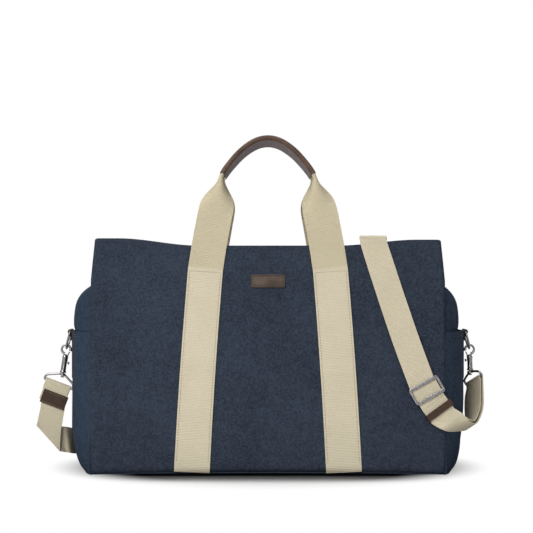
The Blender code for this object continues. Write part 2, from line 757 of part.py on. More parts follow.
# Shoulder strap: each station is the pair of points where its two edges lie
BAR_TURN = BAIL_WIRE / 2 + GAP + STRAP_THICKNESS / 2
FLAT_OUT = 0.0017
LIFT_OUT = 0.0052
RUN_OUT = 0.0046
RETURN_OUT = 0.0022
STRAP_TOP_X = 0.1510
STATION_STEPS = 3
FRONT_DIRECTION = math.radians(29)
KEEPER_DIRECTION = math.radians(36)
BUCKLE_PLACE = (0.2242, 0.1181)
BUCKLE_STEPS = (-0.0340, -0.0290, 0.0, 0.0135, 0.0160)
KEEPER_STEPS = (-0.0140, -0.0120, 0.0060, 0.0090)
KEEPER_PLACE = (0.2415, 0.0906)
LAYER_STEPS = (0.0034, 0.0040, 0.0042, 0.0046, 0.0050, 0.0054)


def edge_pair(middle, across):
    return middle - across * STRAP_WIDTH / 2, middle + across * STRAP_WIDTH / 2


def on_front(place, direction, step, out):
    """A station on the front panel, a step along a direction measured from straight down."""
    x = place[0] + step * math.sin(direction)
    z = place[1] - step * math.cos(direction)
    half_x, half_z = STRAP_WIDTH / 2 * math.cos(direction), STRAP_WIDTH / 2 * math.sin(direction)
    return on_panel_at(FRONT, x - half_x, z - half_z, out), on_panel_at(FRONT, x + half_x, z + half_z, out)


def across_back(x0, z0, x1, z1, out):
    return on_panel_at(BACK, x0, z0, out), on_panel_at(BACK, x1, z1, out)


# The loop at the right end: lower and upper edge of the layer that faces out
RIGHT_LOOP = [
    ((0.2480, -0.1122, 0.0640), (0.2740, -0.1080, 0.0868)),
    ((0.2675, -0.0880, 0.0605), (0.2845, -0.1068, 0.0757)),
    ((0.2885, -0.0430, 0.0580), (0.2975, -0.0745, 0.0705)),
    ((0.2955, -0.0120, 0.0625), (0.3085, -0.0430, 0.0775)),
    ((0.2965, 0.0050, 0.0765), (0.3145, -0.0260, 0.0880)),
    ((0.2985, 0.0150, 0.0970), (0.3165, -0.0165, 0.1030)),
]


def strap_stations():
    left_below = BAIL_ACROSS[LEFT].cross(AXIS_Y)
    centre, across = BAIL_CENTRE[LEFT], BAIL_ACROSS[LEFT]
    behind, before = AXIS_Y * BAR_TURN, -AXIS_Y * BAR_TURN
    if left_below.z > 0:
        left_below = -left_below
    stations = [
        edge_pair(centre + behind + left_below * 0.0300, across),
        edge_pair(centre + behind + left_below * 0.0120, across),
    ]
    for angle in (90, 45, 0, -45, -90):
        turn = math.radians(angle)
        spoke = AXIS_Y * math.sin(turn) - left_below * math.cos(turn)
        stations.append(edge_pair(centre + spoke * BAR_TURN, across))
    stations += [
        edge_pair(centre + before + left_below * 0.0120, across),
        (Vector((-0.3350, -0.0024, 0.0916)), Vector((-0.3008, -0.0024, 0.0823))),
        (Vector((-0.3400, -0.0016, 0.0680)), Vector((-0.3060, -0.0016, 0.0500))),
        (Vector((-0.3416, -0.0006, 0.0606)), Vector((-0.3074, -0.0006, 0.0240))),
        (Vector((-0.3418, 0.0022, 0.0590)), Vector((-0.3066, 0.0022, 0.0206))),
        (Vector((-0.3360, 0.0052, 0.0592)), Vector((-0.3030, 0.0052, 0.0196))),
        (Vector((-0.3120, 0.0130, 0.0560)), Vector((-0.2985, 0.0110, 0.0180))),
        (Vector((-0.2960, 0.0400, 0.0500)), Vector((-0.2950, 0.0400, 0.0120))),
        (Vector((-0.2830, 0.0800, 0.0455)), Vector((-0.2830, 0.0815, 0.0075))),
        (Vector((-0.2640, 0.1090, 0.0420)), Vector((-0.2650, 0.1150, 0.0045))),
        across_back(-0.2350, 0.0404, -0.2350, 0.0030, RUN_OUT),
        across_back(-0.0600, 0.0404, -0.0600, 0.0030, RUN_OUT),
        across_back(0.1000, 0.0404, 0.1000, 0.0030, RUN_OUT),
        across_back(0.1250, 0.0404, 0.1500, 0.0030, RUN_OUT),
        across_back(0.1330, 0.0402, 0.1705, 0.0032, RUN_OUT - 0.0006),
        across_back(0.1336, 0.0400, 0.1711, 0.0030, (RUN_OUT + FLAT_OUT) / 2),
        across_back(0.1330, 0.0414, 0.1708, 0.0044, FLAT_OUT + 0.0003),
        across_back(0.1322, 0.0600, 0.1702, 0.0400, FLAT_OUT),
        across_back(0.1320, 0.1000, 0.1700, 0.0950, FLAT_OUT),
        across_back(0.1320, 0.2200, 0.1700, 0.2200, FLAT_OUT),
        across_back(0.1320, 0.3180, 0.1700, 0.3180, FLAT_OUT),
    ]
    for y, z in ((0.0604, 0.3330), (0.0540, 0.3378), (0.0, 0.3366), (-0.0540, 0.3378), (-0.0604, 0.3330)):
        stations.append(edge_pair(Vector((STRAP_TOP_X, y, z)), AXIS_X))
    stations += [
        on_front((0.1560, 0.3150), math.radians(10), 0, FLAT_OUT),
        on_front((0.1785, 0.2430), math.radians(17), 0, FLAT_OUT),
        on_front((0.1970, 0.1860), math.radians(20), 0, LIFT_OUT - 0.0010),
    ]
    stations += [on_front(BUCKLE_PLACE, FRONT_DIRECTION, step, LIFT_OUT) for step in BUCKLE_STEPS]
    stations += [on_front(KEEPER_PLACE, KEEPER_DIRECTION, step, LIFT_OUT) for step in KEEPER_STEPS]
    return stations + [(Vector(b), Vector(a)) for b, a in RIGHT_LOOP] + right_turn()


def right_turn():
    """Over the right bail's bar, from the outer side of the loop to its inner side."""
    across = BAIL_ACROSS[RIGHT]
    rise = (AXIS_Z - across * across.z).normalized()
    outer = across.cross(-rise)
    stations = []
    for angle in (90, 45, 0, -45, -90):
        turn = math.radians(angle)
        spoke = rise * math.cos(turn) + outer * math.sin(turn)
        stations.append(edge_pair(BAIL_CENTRE[RIGHT] + spoke * BAR_TURN, across))
    return stations


def return_stations():
    """From the bar back to the buckle, inside the first layer all the way."""
    front = [(Vector(low), Vector(high)) for low, high in RIGHT_LOOP]
    middles = [on_front(KEEPER_PLACE, KEEPER_DIRECTION, 0.0, LIFT_OUT)] + front + [right_turn()[0]]
    middles = [(low + high) / 2 for low, high in middles]
    inside = []
    for i, (low, high) in enumerate(front):
        inward = (high - low).cross(middles[i + 2] - middles[i]).normalized() * LAYER_STEPS[i]
        inside.append((low + inward, high + inward))
    low, high = right_turn()[-1]
    across = BAIL_ACROSS[RIGHT]
    fall = (across * across.z - AXIS_Z).normalized()
    stations = [(low + fall * step, high + fall * step) for step in (0.0006, 0.0060)]
    stations += reversed(inside)
    for step in reversed(KEEPER_STEPS):
        stations.append(on_front(KEEPER_PLACE, KEEPER_DIRECTION, step, RETURN_OUT))
    stations += [on_front(BUCKLE_PLACE, FRONT_DIRECTION, step, RETURN_OUT) for step in (0.0160, 0.0030)]
    return stations


def add_ribbon(name, stations):
    first = smooth_path([a for a, b in stations], STATION_STEPS)
    second = smooth_path([b for a, b in stations], STATION_STEPS)
    rows = len(first) - 1

    def place(u, v):
        row = round(v * rows)
        return first[row].lerp(second[row], u)

    add_sheet(name, 1, rows, place, STRAP_THICKNESS, "webbing", None, 0)


def add_strap_patch():
    """A leather patch over the sewn end of the strap."""
    across = BAIL_ACROSS[LEFT]
    down = -BAIL_ACROSS[LEFT].cross(AXIS_Y)
    if down.z > 0:
        down = -down
    middle = Vector((-0.3158, -0.0050, 0.0975))
    thickness, half_down, half_across = 0.0012, 0.0100, 0.0186

    def place(u, v):
        return middle + across * (2 * u - 1) * half_across - down * (2 * v - 1) * half_down

    add_sheet("strap_end_patch", 2, 2, place, thickness, "leather")


def panel_matrix(place, direction):
    """A frame on the front panel: x across the strap, y up along it, z out from the bag."""
    turn = Matrix.Rotation(math.pi / 2 - PANEL_LEAN, 4, "X") @ Matrix.Rotation(direction, 4, "Z")
    return Matrix.Translation(on_panel_at(FRONT, place[0], place[1], 0)) @ turn


def add_buckle():
    """A three-bar slide: the strap goes behind its end bars and over its middle bar."""
    frame = panel_matrix(BUCKLE_PLACE, FRONT_DIRECTION)
    pivot = add_pivot("strap_buckle_path", frame.translation)
    half_w, half_l = BUCKLE_WIDTH / 2, BUCKLE_LENGTH / 2
    bar, rail = 0.0042, 0.0028
    strap_top = LIFT_OUT + STRAP_THICKNESS / 2
    strap_low = LIFT_OUT - STRAP_THICKNESS / 2
    front_low, front_high = strap_top + GAP, strap_top + GAP + 0.0022
    low = 0.0008

    def piece(name, a, b):
        mesh = box_mesh(name, a, b)
        mesh.transform(frame)
        return mesh

    first = piece("strap_buckle", (-half_w, -half_l, low), (-half_w + rail, half_l, front_high))
    buckle = add_part("strap_buckle", first, "nickel", pivot)
    proud = 0.0003
    bar_end = half_w - 0.0010
    others = [
        ((-bar_end, half_l - bar, front_low), (bar_end, half_l + proud, front_high + proud)),
        ((-bar_end, -half_l - proud, front_low), (bar_end, -half_l + bar, front_high + proud)),
        ((-bar_end, -0.0014, low + proud), (bar_end, 0.0014, strap_low - GAP)),
        ((half_w - rail, -half_l, low), (half_w, half_l, front_high)),
    ]
    for number, (a, b) in enumerate(others):
        combine(buckle, piece("buckle_bar_%d" % number, a, b), "UNION")


def add_keeper():
    """A leather loop round both layers of the strap."""
    frame = panel_matrix(KEEPER_PLACE, KEEPER_DIRECTION)
    pivot = add_pivot("strap_keeper_path", frame.translation)
    leather, spare = 0.0010, 0.0014
    half = STRAP_WIDTH / 2 + spare
    low = RETURN_OUT - STRAP_THICKNESS / 2 - GAP
    high = LIFT_OUT + STRAP_THICKNESS / 2 + spare
    outer = [(-half, low), (half, low), (half, high), (-half, high)]

    def place(u, v):
        corner = Vector(outer[round(v * 4) % 4])
        return frame @ Vector((corner.x, (u - 0.5) * KEEPER_LENGTH, corner.y))

    mesh = grid_mesh("strap_keeper", 1, 4, place)
    form = bmesh.new()
    form.from_mesh(mesh)
    bmesh.ops.remove_doubles(form, verts=form.verts, dist=0.00001)
    bmesh.ops.recalc_face_normals(form, faces=form.faces)
    form.to_mesh(mesh)
    form.free()
    keeper = add_part("strap_keeper", mesh, "leather", pivot)
    solid = keeper.modifiers.new("thickness", "SOLIDIFY")
    solid.thickness = leather
    solid.offset = 1


clear_scene()
BAG = new_collection("weekender_bag")
CUTTERS = new_collection("cutters")
FINISH = make_finishes()

for word, side in (("front", FRONT), ("back", BACK)):
    add_panel(word + "_panel", side)
    hinge = add_pivot(word + "_flap_hinge", (0, side * FLAP_EDGE_Y, ZIP_LEVEL - CANVAS / 2))
    add_zip_half(word, side, hinge)
    root = add_pivot(word + "_handle_hinge", on_panel_at(side, 0, HINGE_Z, HINGE_OUT))
    add_handle(word, side, root)
    for hand, end in (("left", LEFT), ("right", RIGHT)):
        add_sewn_strap(word + "_" + hand + "_strap", side, end)
for word, end in (("left", LEFT), ("right", RIGHT)):
    add_gusset(word + "_gusset", end)
    add_end_pocket(word + "_end_pocket", end)
    add_zip_end(word + "_zip_end", end)
    add_ring_tab(word + "_ring_tab", end)
    ring_hinge = add_pivot(word + "_ring_hinge", (end * RING_PIVOT_X, 0, RING_PIVOT_Z))
    add_d_ring(word + "_d_ring", end, ring_hinge)
    add_hook(word, end)
    add_bail(word, end)
add_base()
add_lining()
add_zip_slider()
add_patch()
add_ribbon("shoulder_strap", strap_stations())
add_ribbon("strap_return", return_stations())
add_strap_patch()
add_buckle()
add_keeper()
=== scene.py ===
# %% [markdown]
# A canvas weekender bag, dressed over its CAD frame. The frame brings every solid of the bag and
# the bodies that move, so each piece below is made in the same metres, and all but the hand straps
# are hung on one of those bodies by name. We load it first.

# %% Load the frame
import math

import bmesh
import bpy
import numpy as np
from mathutils import Matrix, Vector, noise


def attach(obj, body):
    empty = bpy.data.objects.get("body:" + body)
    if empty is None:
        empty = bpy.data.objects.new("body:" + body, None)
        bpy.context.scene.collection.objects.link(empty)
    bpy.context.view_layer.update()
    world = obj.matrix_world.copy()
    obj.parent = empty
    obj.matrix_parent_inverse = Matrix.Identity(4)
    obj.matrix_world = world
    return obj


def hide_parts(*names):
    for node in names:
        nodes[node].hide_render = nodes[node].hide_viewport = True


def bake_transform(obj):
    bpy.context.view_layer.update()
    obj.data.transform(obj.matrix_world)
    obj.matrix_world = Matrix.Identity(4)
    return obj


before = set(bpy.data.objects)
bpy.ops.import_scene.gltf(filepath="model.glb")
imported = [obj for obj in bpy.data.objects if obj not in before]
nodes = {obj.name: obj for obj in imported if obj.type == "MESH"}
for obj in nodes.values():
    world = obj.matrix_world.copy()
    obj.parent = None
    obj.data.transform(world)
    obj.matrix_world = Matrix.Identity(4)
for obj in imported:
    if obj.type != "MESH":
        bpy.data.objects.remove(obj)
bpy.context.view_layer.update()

# %% [markdown]
# The picture was taken from two metres in front of the bag, at about the height of its zip, with
# the lens held level. A long lens keeps the sides nearly parallel. The numbers come from the scale
# of the webbing, which is 1.4 mm to a pixel on the front of the base.

# %% Camera
IMAGE_SIZE = 533
SENSOR = 36.0
FOCAL_PIXELS = 1428.6
lens = bpy.data.cameras.new("studio_camera")
lens.sensor_width = SENSOR
lens.lens = FOCAL_PIXELS * SENSOR / IMAGE_SIZE
camera = bpy.data.objects.new("studio_camera", lens)
camera.location = (-0.002, -2.115, 0.294)
camera.rotation_euler = (math.pi / 2, 0, 0)
bpy.context.scene.collection.objects.link(camera)
bpy.context.scene.camera = camera
print("lens: %.1f mm" % lens.lens)

# %% [markdown]
# Studio light is made of large lamps, so that shadows have soft edges. One broad lamp stands high
# on the left in front, weaker ones fill the right and the low front, and the world adds an even
# grey. Rays that go straight to the camera see a white room instead, and metal sees a grey one.

# %% Lamps and world
def soft_lamp(name, place, aim, size, power):
    data = bpy.data.lights.new(name, "AREA")
    data.shape = "RECTANGLE"
    data.size, data.size_y = size
    data.energy = power
    lamp = bpy.data.objects.new(name, data)
    lamp.location = place
    lamp.rotation_euler = (Vector(aim) - Vector(place)).to_track_quat("-Z", "Y").to_euler()
    bpy.context.scene.collection.objects.link(lamp)
    return lamp


soft_lamp("key_lamp", (-1.2, -2.1, 2.1), (0, 0, 0.20), (1.8, 1.6), 62)
soft_lamp("fill_lamp", (1.7, -2.4, 1.2), (0, 0, 0.20), (1.4, 1.6), 3)
soft_lamp("low_lamp", (-0.5, -2.7, 0.30), (-0.1, 0, 0.15), (0.9, 0.6), 8)
soft_lamp("top_lamp", (0.0, 0.3, 2.2), (0, 0, 0.30), (1.8, 1.2), 24)

scene = bpy.context.scene
scene.view_settings.view_transform = "Standard"
world = bpy.data.worlds.new("white_room")
world.use_nodes = True
scene.world = world
room = world.node_tree
sky = room.nodes["Background"]
seen = room.nodes.new("ShaderNodeLightPath")
either = room.nodes.new("ShaderNodeMath")
either.operation = "MAXIMUM"
room.links.new(seen.outputs["Is Camera Ray"], either.inputs[0])
room.links.new(seen.outputs["Is Transmission Ray"], either.inputs[1])
gloss = room.nodes.new("ShaderNodeMath")
gloss.operation = "MULTIPLY_ADD"
gloss.inputs[1].default_value = 0.40
room.links.new(seen.outputs["Is Glossy Ray"], gloss.inputs[0])
room.links.new(either.outputs[0], gloss.inputs[2])
level = room.nodes.new("ShaderNodeMapRange")
level.inputs["To Min"].default_value = 0.19
level.inputs["To Max"].default_value = 1.0
room.links.new(gloss.outputs[0], level.inputs["Value"])
room.links.new(level.outputs[0], sky.inputs["Strength"])
sky.inputs["Color"].default_value = (1, 1, 1, 1)

# %% [markdown]
# The floor is one large pale sheet. Close to the bag it is ordinary white paint, which takes the
# shadow. Right beside the bag the paint is also darkened by how little of the room it can see: this
# is painted shade, which deepens the contact shadow the bag sits on. Further out the paint turns into
# even white for the camera, so the floor and the room meet without a line.

# %% Floor
FLOOR_HALF = 6.0
sheet_mesh = bpy.data.meshes.new("studio_floor")
corners = [(-1, -1), (1, -1), (1, 1), (-1, 1)]
sheet_mesh.from_pydata([(x * FLOOR_HALF, y * FLOOR_HALF, -0.0006) for x, y in corners], [], [(0, 1, 2, 3)])
floor = bpy.data.objects.new("studio_floor", sheet_mesh)
scene.collection.objects.link(floor)

paint = bpy.data.materials.new("floor_white")
paint.use_nodes = True
floor.data.materials.append(paint)
tree = paint.node_tree
surface = tree.nodes["Principled BSDF"]
surface.inputs["Roughness"].default_value = 0.9
surface.inputs["Specular IOR Level"].default_value = 0.1
# Painted shade: ambient occlusion darkens the floor's colour next to the bag.
open_view = tree.nodes.new("ShaderNodeAmbientOcclusion")
open_view.inputs["Distance"].default_value = 0.11
painted_contact_shade = tree.nodes.new("ShaderNodeMapRange")
painted_contact_shade.interpolation_type = "SMOOTHSTEP"
painted_contact_shade.inputs["From Min"].default_value = 0.68
painted_contact_shade.inputs["From Max"].default_value = 0.90
painted_contact_shade.inputs["To Min"].default_value = 0.09
painted_contact_shade.inputs["To Max"].default_value = 0.86
tree.links.new(open_view.outputs["AO"], painted_contact_shade.inputs["Value"])
tree.links.new(painted_contact_shade.outputs[0], surface.inputs["Base Color"])
glow = tree.nodes.new("ShaderNodeEmission")
place = tree.nodes.new("ShaderNodeTexCoord")
spread = tree.nodes.new("ShaderNodeVectorMath")
spread.operation = "MULTIPLY"
spread.inputs[1].default_value = (4.1, 5.6, 0)
away = tree.nodes.new("ShaderNodeVectorMath")
away.operation = "LENGTH"
fade = tree.nodes.new("ShaderNodeMapRange")
fade.interpolation_type = "SMOOTHSTEP"
fade.inputs["From Min"].default_value = 0.92
fade.inputs["From Max"].default_value = 1.36
fade.inputs["To Min"].default_value = 0.0
ray = tree.nodes.new("ShaderNodeLightPath")
seen_share = tree.nodes.new("ShaderNodeMath")
seen_share.operation = "MULTIPLY"
blend_in = tree.nodes.new("ShaderNodeMixShader")
tree.links.new(place.outputs["Object"], spread.inputs[0])
tree.links.new(spread.outputs[0], away.inputs[0])
tree.links.new(away.outputs["Value"], fade.inputs["Value"])
tree.links.new(fade.outputs[0], seen_share.inputs[0])
tree.links.new(ray.outputs["Is Camera Ray"], seen_share.inputs[1])
tree.links.new(seen_share.outputs[0], blend_in.inputs["Fac"])
tree.links.new(surface.outputs[0], blend_in.inputs[1])
tree.links.new(glow.outputs[0], blend_in.inputs[2])
tree.links.new(blend_in.outputs[0], tree.nodes["Material Output"].inputs["Surface"])
print("floor: %.0f m wide" % (2 * FLOOR_HALF))

# %% [markdown]
# Finishes come next. A cloth or leather finish is a colour that wanders between a few near tones,
# plus a fine relief. The small recipe below keeps that in one place: it makes a material, gives
# back helpers that add noise or weave nodes to it, and leaves constants on the shader's own sockets.

# %% Finish recipe
class Finish:
    """A material under construction, with short calls for the nodes that finishes share."""

    def __init__(self, name, roughness, metallic=0.0, sheen=0.0, coat=0.0, specular=0.5):
        self.material = bpy.data.materials.new(name)
        self.material.use_nodes = True
        self.tree = self.material.node_tree
        self.shader = self.tree.nodes["Principled BSDF"]
        self.shader.inputs["Roughness"].default_value = roughness
        self.shader.inputs["Metallic"].default_value = metallic
        self.shader.inputs["Sheen Weight"].default_value = sheen
        self.shader.inputs["Coat Weight"].default_value = coat
        self.shader.inputs["Specular IOR Level"].default_value = specular
        self.coords = self.tree.nodes.new("ShaderNodeTexCoord")

    def link(self, source, target):
        self.tree.links.new(source, target)

    def noise(self, scale, detail=3.0, stretch=None):
        source = self.coords.outputs["Object"]
        if stretch:
            source = self.stretched(source, stretch)
        node = self.tree.nodes.new("ShaderNodeTexNoise")
        node.inputs["Scale"].default_value = scale
        node.inputs["Detail"].default_value = detail
        self.link(source, node.inputs["Vector"])
        return node.outputs["Fac"]

    def stretched(self, source, factors):
        node = self.tree.nodes.new("ShaderNodeVectorMath")
        node.operation = "MULTIPLY"
        node.inputs[1].default_value = factors
        self.link(source, node.inputs[0])
        return node.outputs[0]

    def cloth_place(self):
        node = self.tree.nodes.new("ShaderNodeUVMap")
        node.uv_map = "cloth"
        return node.outputs["UV"]

    def threads(self, pitch, direction, source=None):
        """Even ribs, one to each pitch, across the cloth (X) or along it (Y)."""
        node = self.tree.nodes.new("ShaderNodeTexWave")
        node.bands_direction = direction
        node.wave_profile = "SIN"
        node.inputs["Scale"].default_value = 2 * math.pi / pitch / 20
        self.link(source or self.cloth_place(), node.inputs["Vector"])
        return node.outputs["Fac"]

    def ramp(self, value, low, high, dark, light):
        node = self.tree.nodes.new("ShaderNodeValToRGB")
        node.color_ramp.elements[0].position = low
        node.color_ramp.elements[1].position = high
        node.color_ramp.elements[0].color = (*dark, 1)
        node.color_ramp.elements[1].color = (*light, 1)
        self.link(value, node.inputs["Fac"])
        return node.outputs["Color"]

    def mix(self, share, first, second, kind="MIX"):
        node = self.tree.nodes.new("ShaderNodeMix")
        node.data_type = "RGBA"
        node.blend_type = kind
        for socket, value in (
            (node.inputs["Factor"], share), (node.inputs["A"], first), (node.inputs["B"], second),
        ):
            if hasattr(value, "links"):
                self.link(value, socket)
            elif isinstance(value, tuple):
                socket.default_value = (*value, 1)
            else:
                socket.default_value = value
        return node.outputs["Result"]

    def sum(self, *weighted):
        """Weighted heights added up."""
        total = None
        for value, weight in weighted:
            node = self.tree.nodes.new("ShaderNodeMath")
            node.operation = "MULTIPLY_ADD"
            node.inputs[1].default_value = weight
            self.link(value, node.inputs[0])
            if total:
                self.link(total, node.inputs[2])
            else:
                node.inputs[2].default_value = 0.0
            total = node.outputs[0]
        return total

    # Reads the per-point value that blends in painted shade on the webbing and painted sheen on the grips.
    def tone(self, name):
        node = self.tree.nodes.new("ShaderNodeAttribute")
        node.attribute_name = name
        return node.outputs["Fac"]

    def colour(self, source):
        self.link(source, self.shader.inputs["Base Color"])

    def rough(self, value, low, high):
        node = self.tree.nodes.new("ShaderNodeMapRange")
        node.inputs["To Min"].default_value = low
        node.inputs["To Max"].default_value = high
        self.link(value, node.inputs["Value"])
        self.link(node.outputs[0], self.shader.inputs["Roughness"])

    def relief(self, height, depth):
        node = self.tree.nodes.new("ShaderNodeBump")
        node.inputs["Strength"].default_value = 1.0
        node.inputs["Distance"].default_value = depth
        self.link(height, node.inputs["Height"])
        self.link(node.outputs["Normal"], self.shader.inputs["Normal"])


print("finish recipe ready")

# %% [markdown]
# The canvas is a heavy cotton twill that was washed after dyeing, so the navy is mottled: tiny
# light and dark flecks a few millimetres across, and slow clouds over the whole panel. The weave
# itself is finer than a pixel here but shows when you come close. The end panels took the dye a
# little bluer than the front.

# %% Canvas finish
def washed_canvas(name, dark, mid, light):
    finish = Finish(name, roughness=0.95, specular=0.08)
    clouds = finish.noise(11, 2)
    flecks = finish.noise(360, 3)
    fuzz = finish.noise(1500, 2)
    slubs = finish.noise(85, 4)
    base = finish.ramp(flecks, 0.41, 0.59, dark, light)
    base = finish.mix(0.30, base, finish.ramp(slubs, 0.35, 0.66, dark, light))
    base = finish.mix(0.45, base, finish.ramp(clouds, 0.30, 0.70, dark, mid))
    weft = finish.threads(0.0011, "Y")
    warp = finish.threads(0.0009, "DIAGONAL")
    finish.colour(finish.mix(0.12, base, finish.ramp(warp, 0.2, 0.8, dark, light)))
    finish.relief(finish.sum((warp, 0.5), (weft, 0.35), (flecks, 0.8), (fuzz, 0.5)), 0.00030)
    return finish.material


FRONT_NAVY = washed_canvas(
    "navy_canvas", (0.0160, 0.0216, 0.0330), (0.0340, 0.0440, 0.0650), (0.0560, 0.0725, 0.1050),
)
END_NAVY = washed_canvas(
    "end_navy_canvas", (0.0170, 0.0262, 0.0430), (0.0310, 0.0475, 0.0770), (0.0500, 0.0750, 0.1150),
)
print("canvas finishes:", FRONT_NAVY.name, END_NAVY.name)

# %% [markdown]
# Webbing is a narrow, thick ribbon of cotton. Its ribs run straight across, about two
# millimetres apart, with a flat woven edge on each side. Where the hand straps stand free they lean
# away from the light, so a painted value blends their colour towards a darker copy there; this is
# painted shade.

# %% Webbing finish
def ribbed_webbing(name, pale, shade):
    finish = Finish(name, roughness=0.9, specular=0.15)
    ribs = finish.threads(0.0022, "Y")
    ends = finish.threads(0.0009, "X")
    clouds = finish.noise(28, 2)
    flecks = finish.noise(420, 3)
    # Painted shade: the painted value moves the pale colour towards the darker one where the strap stands
    # free.
    base = finish.mix(finish.tone("tone"), pale, shade)
    base = finish.mix(
        0.20, base, finish.ramp(clouds, 0.3, 0.7, (0.78, 0.77, 0.75), (1.0, 1.0, 1.0)), "MULTIPLY",
    )
    base = finish.mix(
        0.30, base, finish.ramp(flecks, 0.3, 0.7, (0.72, 0.71, 0.68), (1.0, 1.0, 1.0)), "MULTIPLY",
    )
    base = finish.mix(
        0.5, base, finish.ramp(ribs, 0.0, 0.6, (0.78, 0.76, 0.72), (1.0, 1.0, 1.0)), "MULTIPLY",
    )
    finish.colour(base)
    finish.relief(finish.sum((ribs, 1.0), (ends, 0.35), (flecks, 0.5)), 0.00032)
    return finish.material


BEIGE = ribbed_webbing("beige_webbing", (0.700, 0.630, 0.475), (0.610, 0.540, 0.380))
print("webbing finish:", BEIGE.name)

# %% [markdown]
# Leather is smooth with small pores and creases. Voronoi cells give the grain, and two noises move
# the brown from nearly black to a worn, redder tone. Where a painted value is high the colour turns
# to a paler grey-mauve: a painted sheen, standing for the grey reflection on a grip's flat underside.

# %% Leather finish
def waxed_leather(name, dark, worn, painted_sheen):
    finish = Finish(name, roughness=0.5, specular=0.22)
    clouds = finish.noise(60, 3)
    pores = finish.noise(900, 4)
    cells = finish.tree.nodes.new("ShaderNodeTexVoronoi")
    cells.feature = "DISTANCE_TO_EDGE"
    cells.inputs["Scale"].default_value = 950
    finish.link(finish.coords.outputs["Object"], cells.inputs["Vector"])
    base = finish.ramp(clouds, 0.3, 0.72, dark, worn)
    base = finish.mix(0.35, base, finish.ramp(pores, 0.3, 0.7, dark, worn))
    # Painted sheen: where the painted value is high the brown turns to a grey-mauve reflection.
    finish.colour(finish.mix(finish.tone("tone"), base, painted_sheen))
    finish.rough(pores, 0.36, 0.62)
    finish.relief(finish.sum((cells.outputs["Distance"], 0.6), (pores, 0.4)), 0.00022)
    return finish.material


# The last colour of each leather is its painted sheen, which shows only on the grips.
BROWN = waxed_leather("brown_leather", (0.027, 0.014, 0.009), (0.068, 0.037, 0.023), (0.140, 0.115, 0.120))
GRIP_BROWN = waxed_leather(
    "grip_leather", (0.050, 0.028, 0.018), (0.135, 0.078, 0.051), (0.200, 0.168, 0.175),
)
PATCH_BROWN = waxed_leather(
    "patch_leather", (0.045, 0.031, 0.023), (0.120, 0.086, 0.064), (0.20, 0.16, 0.13),
)
print("leather finishes:", BROWN.name, GRIP_BROWN.name, PATCH_BROWN.name)

# %% [markdown]
# The fittings are cast metal with satin nickel plate. It is a true metal, a little rough, with a
# brushed drift and darker clouds where the plate has dulled. The zip teeth share it. The tape and
# the lining are plain weaves, and sewing thread is a tight, slightly shiny twist.

# %% Metal, tape, lining and thread finishes
def satin_nickel(name, dark, light):
    finish = Finish(name, roughness=0.3, metallic=1.0)
    clouds = finish.noise(160, 3)
    brush = finish.noise(700, 2, stretch=(1, 1, 9))
    finish.colour(finish.ramp(clouds, 0.3, 0.7, dark, light))
    finish.rough(brush, 0.24, 0.28)
    finish.relief(brush, 0.000001)
    return finish.material


def plain_weave(name, dark, light, pitch, roughness=0.9):
    finish = Finish(name, roughness=roughness, sheen=0.05)
    warp = finish.threads(pitch, "X")
    weft = finish.threads(pitch, "Y")
    flecks = finish.noise(500, 3)
    base = finish.ramp(flecks, 0.3, 0.7, dark, light)
    finish.colour(finish.mix(0.3, base, finish.ramp(weft, 0.2, 0.8, dark, light)))
    finish.relief(finish.sum((warp, 0.5), (weft, 0.5), (flecks, 0.4)), 0.0002)
    return finish.material


NICKEL = satin_nickel("satin_nickel", (0.27, 0.26, 0.26), (0.31, 0.30, 0.30))
TAPE = plain_weave("zip_tape_navy", (0.012, 0.016, 0.026), (0.026, 0.034, 0.052), 0.0008)
LINING = plain_weave("lining_cotton", (0.17, 0.16, 0.14), (0.24, 0.22, 0.19), 0.0008)
NAVY_THREAD = plain_weave("navy_thread", (0.016, 0.022, 0.036), (0.040, 0.052, 0.078), 0.0004, 0.6)
BEIGE_THREAD = plain_weave("beige_thread", (0.27, 0.21, 0.11), (0.38, 0.31, 0.18), 0.0004, 0.6)
BROWN_THREAD = plain_weave("brown_thread", (0.030, 0.018, 0.012), (0.070, 0.045, 0.032), 0.0004, 0.6)
print("small finishes:", NICKEL.name, TAPE.name, LINING.name)

# %% [markdown]
# Most of the bag is cloth, and cloth here is always the same thing: a grid of points, a thickness,
# and walls round the edge so that it is one closed body. The helper takes a rule that says where a
# point of the flat cloth goes, in metres across and along, and keeps those two numbers as the map
# that the weave follows.

# %% Cloth and wire helpers
def as_piece(name, mesh, finish, body, slot, *stands_for):
    piece = bpy.data.objects.new(name, mesh)
    scene.collection.objects.link(piece)
    mesh.materials.append(finish)
    if body:
        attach(piece, body)
    if stands_for:
        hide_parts(*stands_for)
    return piece


def spaced(start, end, count):
    return [start + (end - start) * i / count for i in range(count + 1)]


